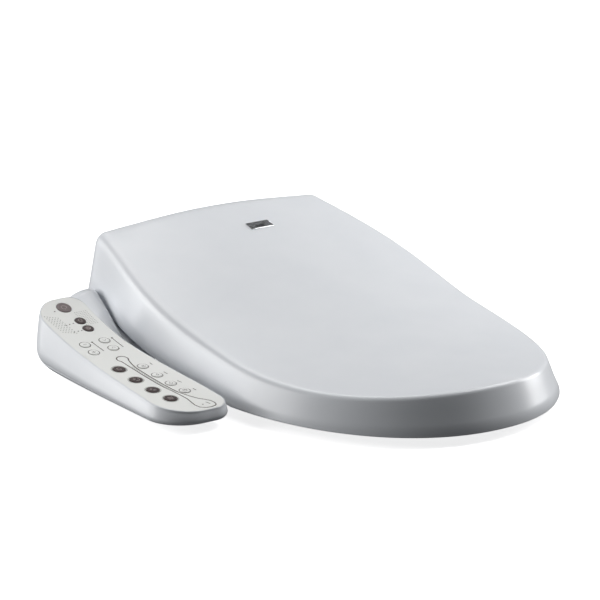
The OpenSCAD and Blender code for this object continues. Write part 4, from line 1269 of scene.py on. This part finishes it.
        for start, end in (
            ((-219, -148.5), (-219, -153.5)), ((-218.7, -174), (-217.9, -180)),
            ((-218.6, -199), (-217, -205)),
            ((-215.3, -223), (-214.5, -228)), ((-222.6, -256.7), (-220.4, -261.8)),
        ):
            self.stroke(dark, [start, end], 0.8, self.at)
        for row in range(6):
            for column in range(9):
                x, y = -270 + row * 2.6 + column * 0.4, -24 - column * 3.9 - row * 1.3
                self.dot(pale, x, y, 0.75)
                x, y = -234 + row * 2.8, -27 - column * 2.9
                self.dot(pale, x, y, 0.65)
        dark.close(BROWN_INK, "base")
        pale.close(GREY_INK, "base")

    def keys(self) -> None:
        """The fifteen keys, each with a rounded cap, its collar, its stem and its icon."""
        finishes = {KeyStyle.TAUPE: TAUPE_KEY, KeyStyle.BROWN: BROWN_KEY, KeyStyle.OUTLINED: FILM}
        slots = {
            KeyStyle.TAUPE: "button_taupe", KeyStyle.BROWN: "button_brown", KeyStyle.OUTLINED: "panel_film",
        }
        for key in KEYS:
            x, r, top, dish = self.outer_x + key.offset, key.radius, 0.7, 0.12
            base = self.at(x, key.y)
            normal = (self.at(x, key.y, 1) - base).normalized()
            along = Vector((1, 0, 0)).cross(normal) * -1
            cap = Piece(f"{key.node}_cap")
            cap.turned([
                (0, top - dish), (r * 0.5, top - dish * 0.7), (r - 1.0, top), (r - 0.5, top - 0.05),
                (r - 0.15, top - 0.25), (r, top - 0.6), (r, -4.4), (r + 0.9, -4.4), (r + 0.9, -5.6),
                (1.5, -5.6), (1.5, -9), (0, -9),
            ], base, normal, 56)
            cap.close(finishes[key.style], key.node, [key.node], slots[key.style], smooth_deg=40)
            mark = Piece(f"{key.node}_icon")

            def place(u: float, v: float, h: float, base=base, normal=normal, along=along, r=r) -> Vector:
                """A point of the icon, laid into the cap's dish."""
                dip = dish * (1 - min(math.hypot(u, v) / (r - 1.0), 1.0) ** 2)
                return base + Vector((u, 0, 0)) + along * -v + normal * (top - dip + h + 0.02)

            for path in key.icon:
                self.stroke(mark, path, 0.42, place)
            mark.close(BROWN_INK if key.style is KeyStyle.OUTLINED else PALE_INK, key.node)


# ---- Casing, fittings and what they hold ----


@dataclass
class WaterFittings:
    """What shows of the water path outside the casing: the threaded inlet, its filter plug and the gland."""

    flank: float = 164.94
    inlet_y: float = 18.0
    plug_y: float = 41.0
    centre_z: float = 17.0
    thread_r: float = 10.4
    thread_l: float = 14.0
    pitch: float = 1.814
    thread_depth: float = 0.9
    bore_r: float = 6.0
    gland: Vector = field(default_factory=lambda: Vector((118.0, 65.0, 18.0)))
    cord_r: float = 3.6

    def inlet(self) -> bpy.types.Object:
        """The plated inlet: body, collar, undercut and rings that stand for its thread."""
        piece = Piece("threaded_inlet")
        piece.block(
            Vector((self.flank - 25, self.inlet_y - 13, 7.0)),
            Vector((self.flank - 8.0, self.plug_y - 6.6, 28.0)), 1.0,
        )
        r, bore = self.thread_r, self.bore_r
        profile = [
            (bore, 14.0), (bore, 0.0), (r + 0.6, 0.0), (r + 0.6, 7.9), (r + 0.3, 8.2), (r - 1.4, 8.2),
            (r - 1.4, 9.4),
        ]
        turns = int((self.thread_l - 1.4) / self.pitch)
        for i in range(turns):
            x = 9.6 + i * self.pitch
            profile += [(r - self.thread_depth, x), (r, x + self.pitch * 0.4), (r, x + self.pitch * 0.6)]
        end = 9.0 + self.thread_l
        profile += [
            (r - self.thread_depth, end - 0.8), (r - 1.2, end), (bore + 0.5, end), (bore, end - 0.5),
            (bore, 14.0),
        ]
        piece.turned(profile, Vector((self.flank - 8, self.inlet_y, self.centre_z)), Vector((1, 0, 0)), 72)
        return piece.close(NICKEL, "base", ["water_inlet"], "plated_brass", smooth_deg=40)

    def filter_plug(self) -> bpy.types.Object:
        """The filter's plug: a knob with a grip bar across its face."""
        piece = Piece("filter_plug")
        r, knob = 6.0, 8.5
        base = Vector((self.flank - 22, self.plug_y, self.centre_z))
        piece.turned([
            (0, 0), (r - 0.4, 0), (r, 0.4), (r, 19.0), (r - 0.8, 19.2), (r - 0.8, 20.6), (r, 20.8), (r, 22.5),
            (knob - 0.5, 22.5), (knob, 23.0), (knob, 25.7), (knob - 0.8, 26.5), (0, 26.5),
        ], base, Vector((1, 0, 0)), 48)
        tip = base + Vector((26.4, 0, 0))
        piece.block(tip + Vector((-0.6, -6.0, -1.1)), tip + Vector((0.1, 6.0, 1.1)), 0.3)
        return piece.close(GREY_ABS, "base", ["inlet_filter"], "grey_abs", smooth_deg=40)

    def cable_gland(self) -> bpy.types.Object:
        """The empty cable gland with its flange."""
        piece = Piece("cable_gland_rubber")
        r, flange, body = self.cord_r, self.cord_r + 4.5, self.cord_r + 3.0
        piece.turned([
            (r, 0.6), (r + 0.6, 0), (flange - 1, 0), (flange, 1.0), (flange, 4.0), (flange - 0.8, 5.0),
            (body, 5.0),
            (body, 11.4), (body - 0.6, 12), (r, 12), (r, 0.6),
        ], self.gland, Vector((0, -1, 0)), 48)
        return piece.close(RUBBER, "base", ["cable_gland"], "black_rubber", smooth_deg=40)


def casing() -> None:
    """The main casing, its plate and its catch."""
    softened("upper_casing", CASING_ABS, "base", 1.2)
    softened("base_tray", CASING_ABS, "base", 0.5)
    softened("rubber_feet", RUBBER, "base", 0.5)
    softened("mounting_plate", PLATE_PP, "plate", 0.5)
    softened("release_button", GREY_ABS, "release", 0.6)
    softened("dryer_flap", CASING_ABS, "flap", 0.3)
    softened("nozzle_wand_rear", NYLON, "wand_rear", 0.15)
    softened("nozzle_wand_front", NYLON, "wand_front", 0.15)


SLOT_FINISH = {
    "circuit_board": BOARD, "transformer_tape": TAPE, "grey_nylon": NYLON, "silicone_rubber": SILICONE,
    "zinc_steel": ZINC, "dark_abs": DARK_ABS, "heater_foil": FOIL, "acetal": ACETAL, "carbon_filter": CARBON,
    "stainless_steel": STAINLESS, "grey_abs": GREY_ABS, "white_abs": CASING_ABS, "black_rubber": RUBBER,
    "white_polypropylene": SEAT_PP, "soft_bumper": SOFT_PVC, "plate_plastic": PLATE_PP,
    "panel_film": FILM, "plated_brass": NICKEL, "chrome_plate": CHROME, "lid_plastic": LID_ABS,
    "button_brown": BROWN_KEY, "button_taupe": TAUPE_KEY,
}


def dress_inside() -> None:
    """Gives every part that is shown as designed the finish of its material slot."""
    for part in frame["record"]["subparts"]:
        shown = frame["nodes"][part["node"]]
        shown.data.materials.clear()
        shown.data.materials.append(SLOT_FINISH[part["material_slot"]].material())


# ---- Studio ----


@dataclass
class Studio:
    """Pale floor, soft lights and the camera."""

    azimuth_deg: float = -36.03
    elevation_deg: float = 16.34
    target: Vector = field(default_factory=lambda: Vector((0.0, -0.11507, 0.06323)))
    distance: float = 3.8655
    lens_mm: float = 213.2

    def direction(self, azimuth_deg: float, elevation_deg: float) -> Vector:
        """Unit vector from the object towards a place round it."""
        a, e = math.radians(azimuth_deg), math.radians(elevation_deg)
        return Vector((math.sin(a) * math.cos(e), -math.cos(a) * math.cos(e), math.sin(e)))

    def camera(self) -> None:
        """The camera, at the distance that gives the object its slight perspective."""
        back = self.direction(self.azimuth_deg, self.elevation_deg)
        data = bpy.data.cameras.new("camera")
        data.lens = self.lens_mm
        data.sensor_width = 36.0
        made = bpy.data.objects.new("camera", data)
        made.location = self.target + back * self.distance
        made.rotation_mode = "QUATERNION"
        made.rotation_quaternion = (-back).to_track_quat("-Z", "Y")
        bpy.context.scene.collection.objects.link(made)
        bpy.context.scene.camera = made

    def softbox(
        self, name: str, azimuth_deg: float, elevation_deg: float, away: float, size: float, power: float
    ) -> None:
        """One square soft light aimed at the object.

        Args:
            name: Its name.
            azimuth_deg: Where it stands, as the camera's azimuth.
            elevation_deg: Its height above the horizon.
            away: Its distance in metres.
            size: Its side in metres.
            power: Its power in watts.
        """
        back = self.direction(azimuth_deg, elevation_deg)
        data = bpy.data.lights.new(name, "AREA")
        data.size = size
        data.energy = power
        made = bpy.data.objects.new(name, data)
        made.location = self.target + back * away
        made.rotation_mode = "QUATERNION"
        made.rotation_quaternion = (-back).to_track_quat("-Z", "Y")
        bpy.context.scene.collection.objects.link(made)

    def floor(self) -> None:
        """A plain pale floor at the foot of the object."""
        bm = bmesh.new()
        bmesh.ops.create_circle(bm, cap_ends=True, segments=96, radius=14.0)
        mesh = bpy.data.meshes.new("floor")
        bm.to_mesh(mesh)
        bm.free()
        made = bpy.data.objects.new("floor", mesh)
        made.location.z = -0.0005
        paint = bpy.data.materials.new("pale_floor_paint")
        paint.use_nodes = True
        shader = paint.node_tree.nodes["Principled BSDF"]
        shader.inputs["Base Color"].default_value = linear("#ffffff")
        shader.inputs["Roughness"].default_value = 0.9
        shader.inputs["Emission Color"].default_value = linear("#ffffff")
        shader.inputs["Emission Strength"].default_value = 0.75
        made.visible_diffuse = False
        made.visible_glossy = False
        mesh.materials.append(paint)
        bpy.context.scene.collection.objects.link(made)

    def light(self) -> None:
        """Even light from all round, with soft boxes on the left and above."""
        scene = bpy.context.scene
        scene.view_settings.view_transform = "Standard"
        world = bpy.data.worlds.new("studio")
        world.use_nodes = True
        sky = world.node_tree.nodes["Background"]
        sky.inputs["Color"].default_value = linear("#eef1f5")
        sky.inputs["Strength"].default_value = 0.11
        scene.world = world
        self.softbox("left_box", -127, 8, 2.8, 2.6, 104)
        self.softbox("top_box", 70, 50, 1.5, 0.9, 14)
        self.softbox("rear_box", 165, 56, 2.4, 1.4, 15)
        self.softbox("right_box", 74, 12, 1.8, 0.8, 17)


def main() -> None:
    """Builds the seat piece by piece, then the studio."""
    logging.basicConfig(level=logging.INFO, format="%(message)s")
    studio = Studio()
    studio.camera()
    lid = Lid()
    lid.shell()
    lid.badge()
    seat = Seat()
    seat.upper_shell()
    seat.details()
    arm = ControlArm()
    arm.casing()
    arm.cover()
    arm.panel()
    arm.prints()
    arm.keys()
    fittings = WaterFittings()
    fittings.inlet()
    fittings.filter_plug()
    fittings.cable_gland()
    casing()
    dress_inside()
    studio.floor()
    studio.light()


if __name__ == "__main__":
    main()
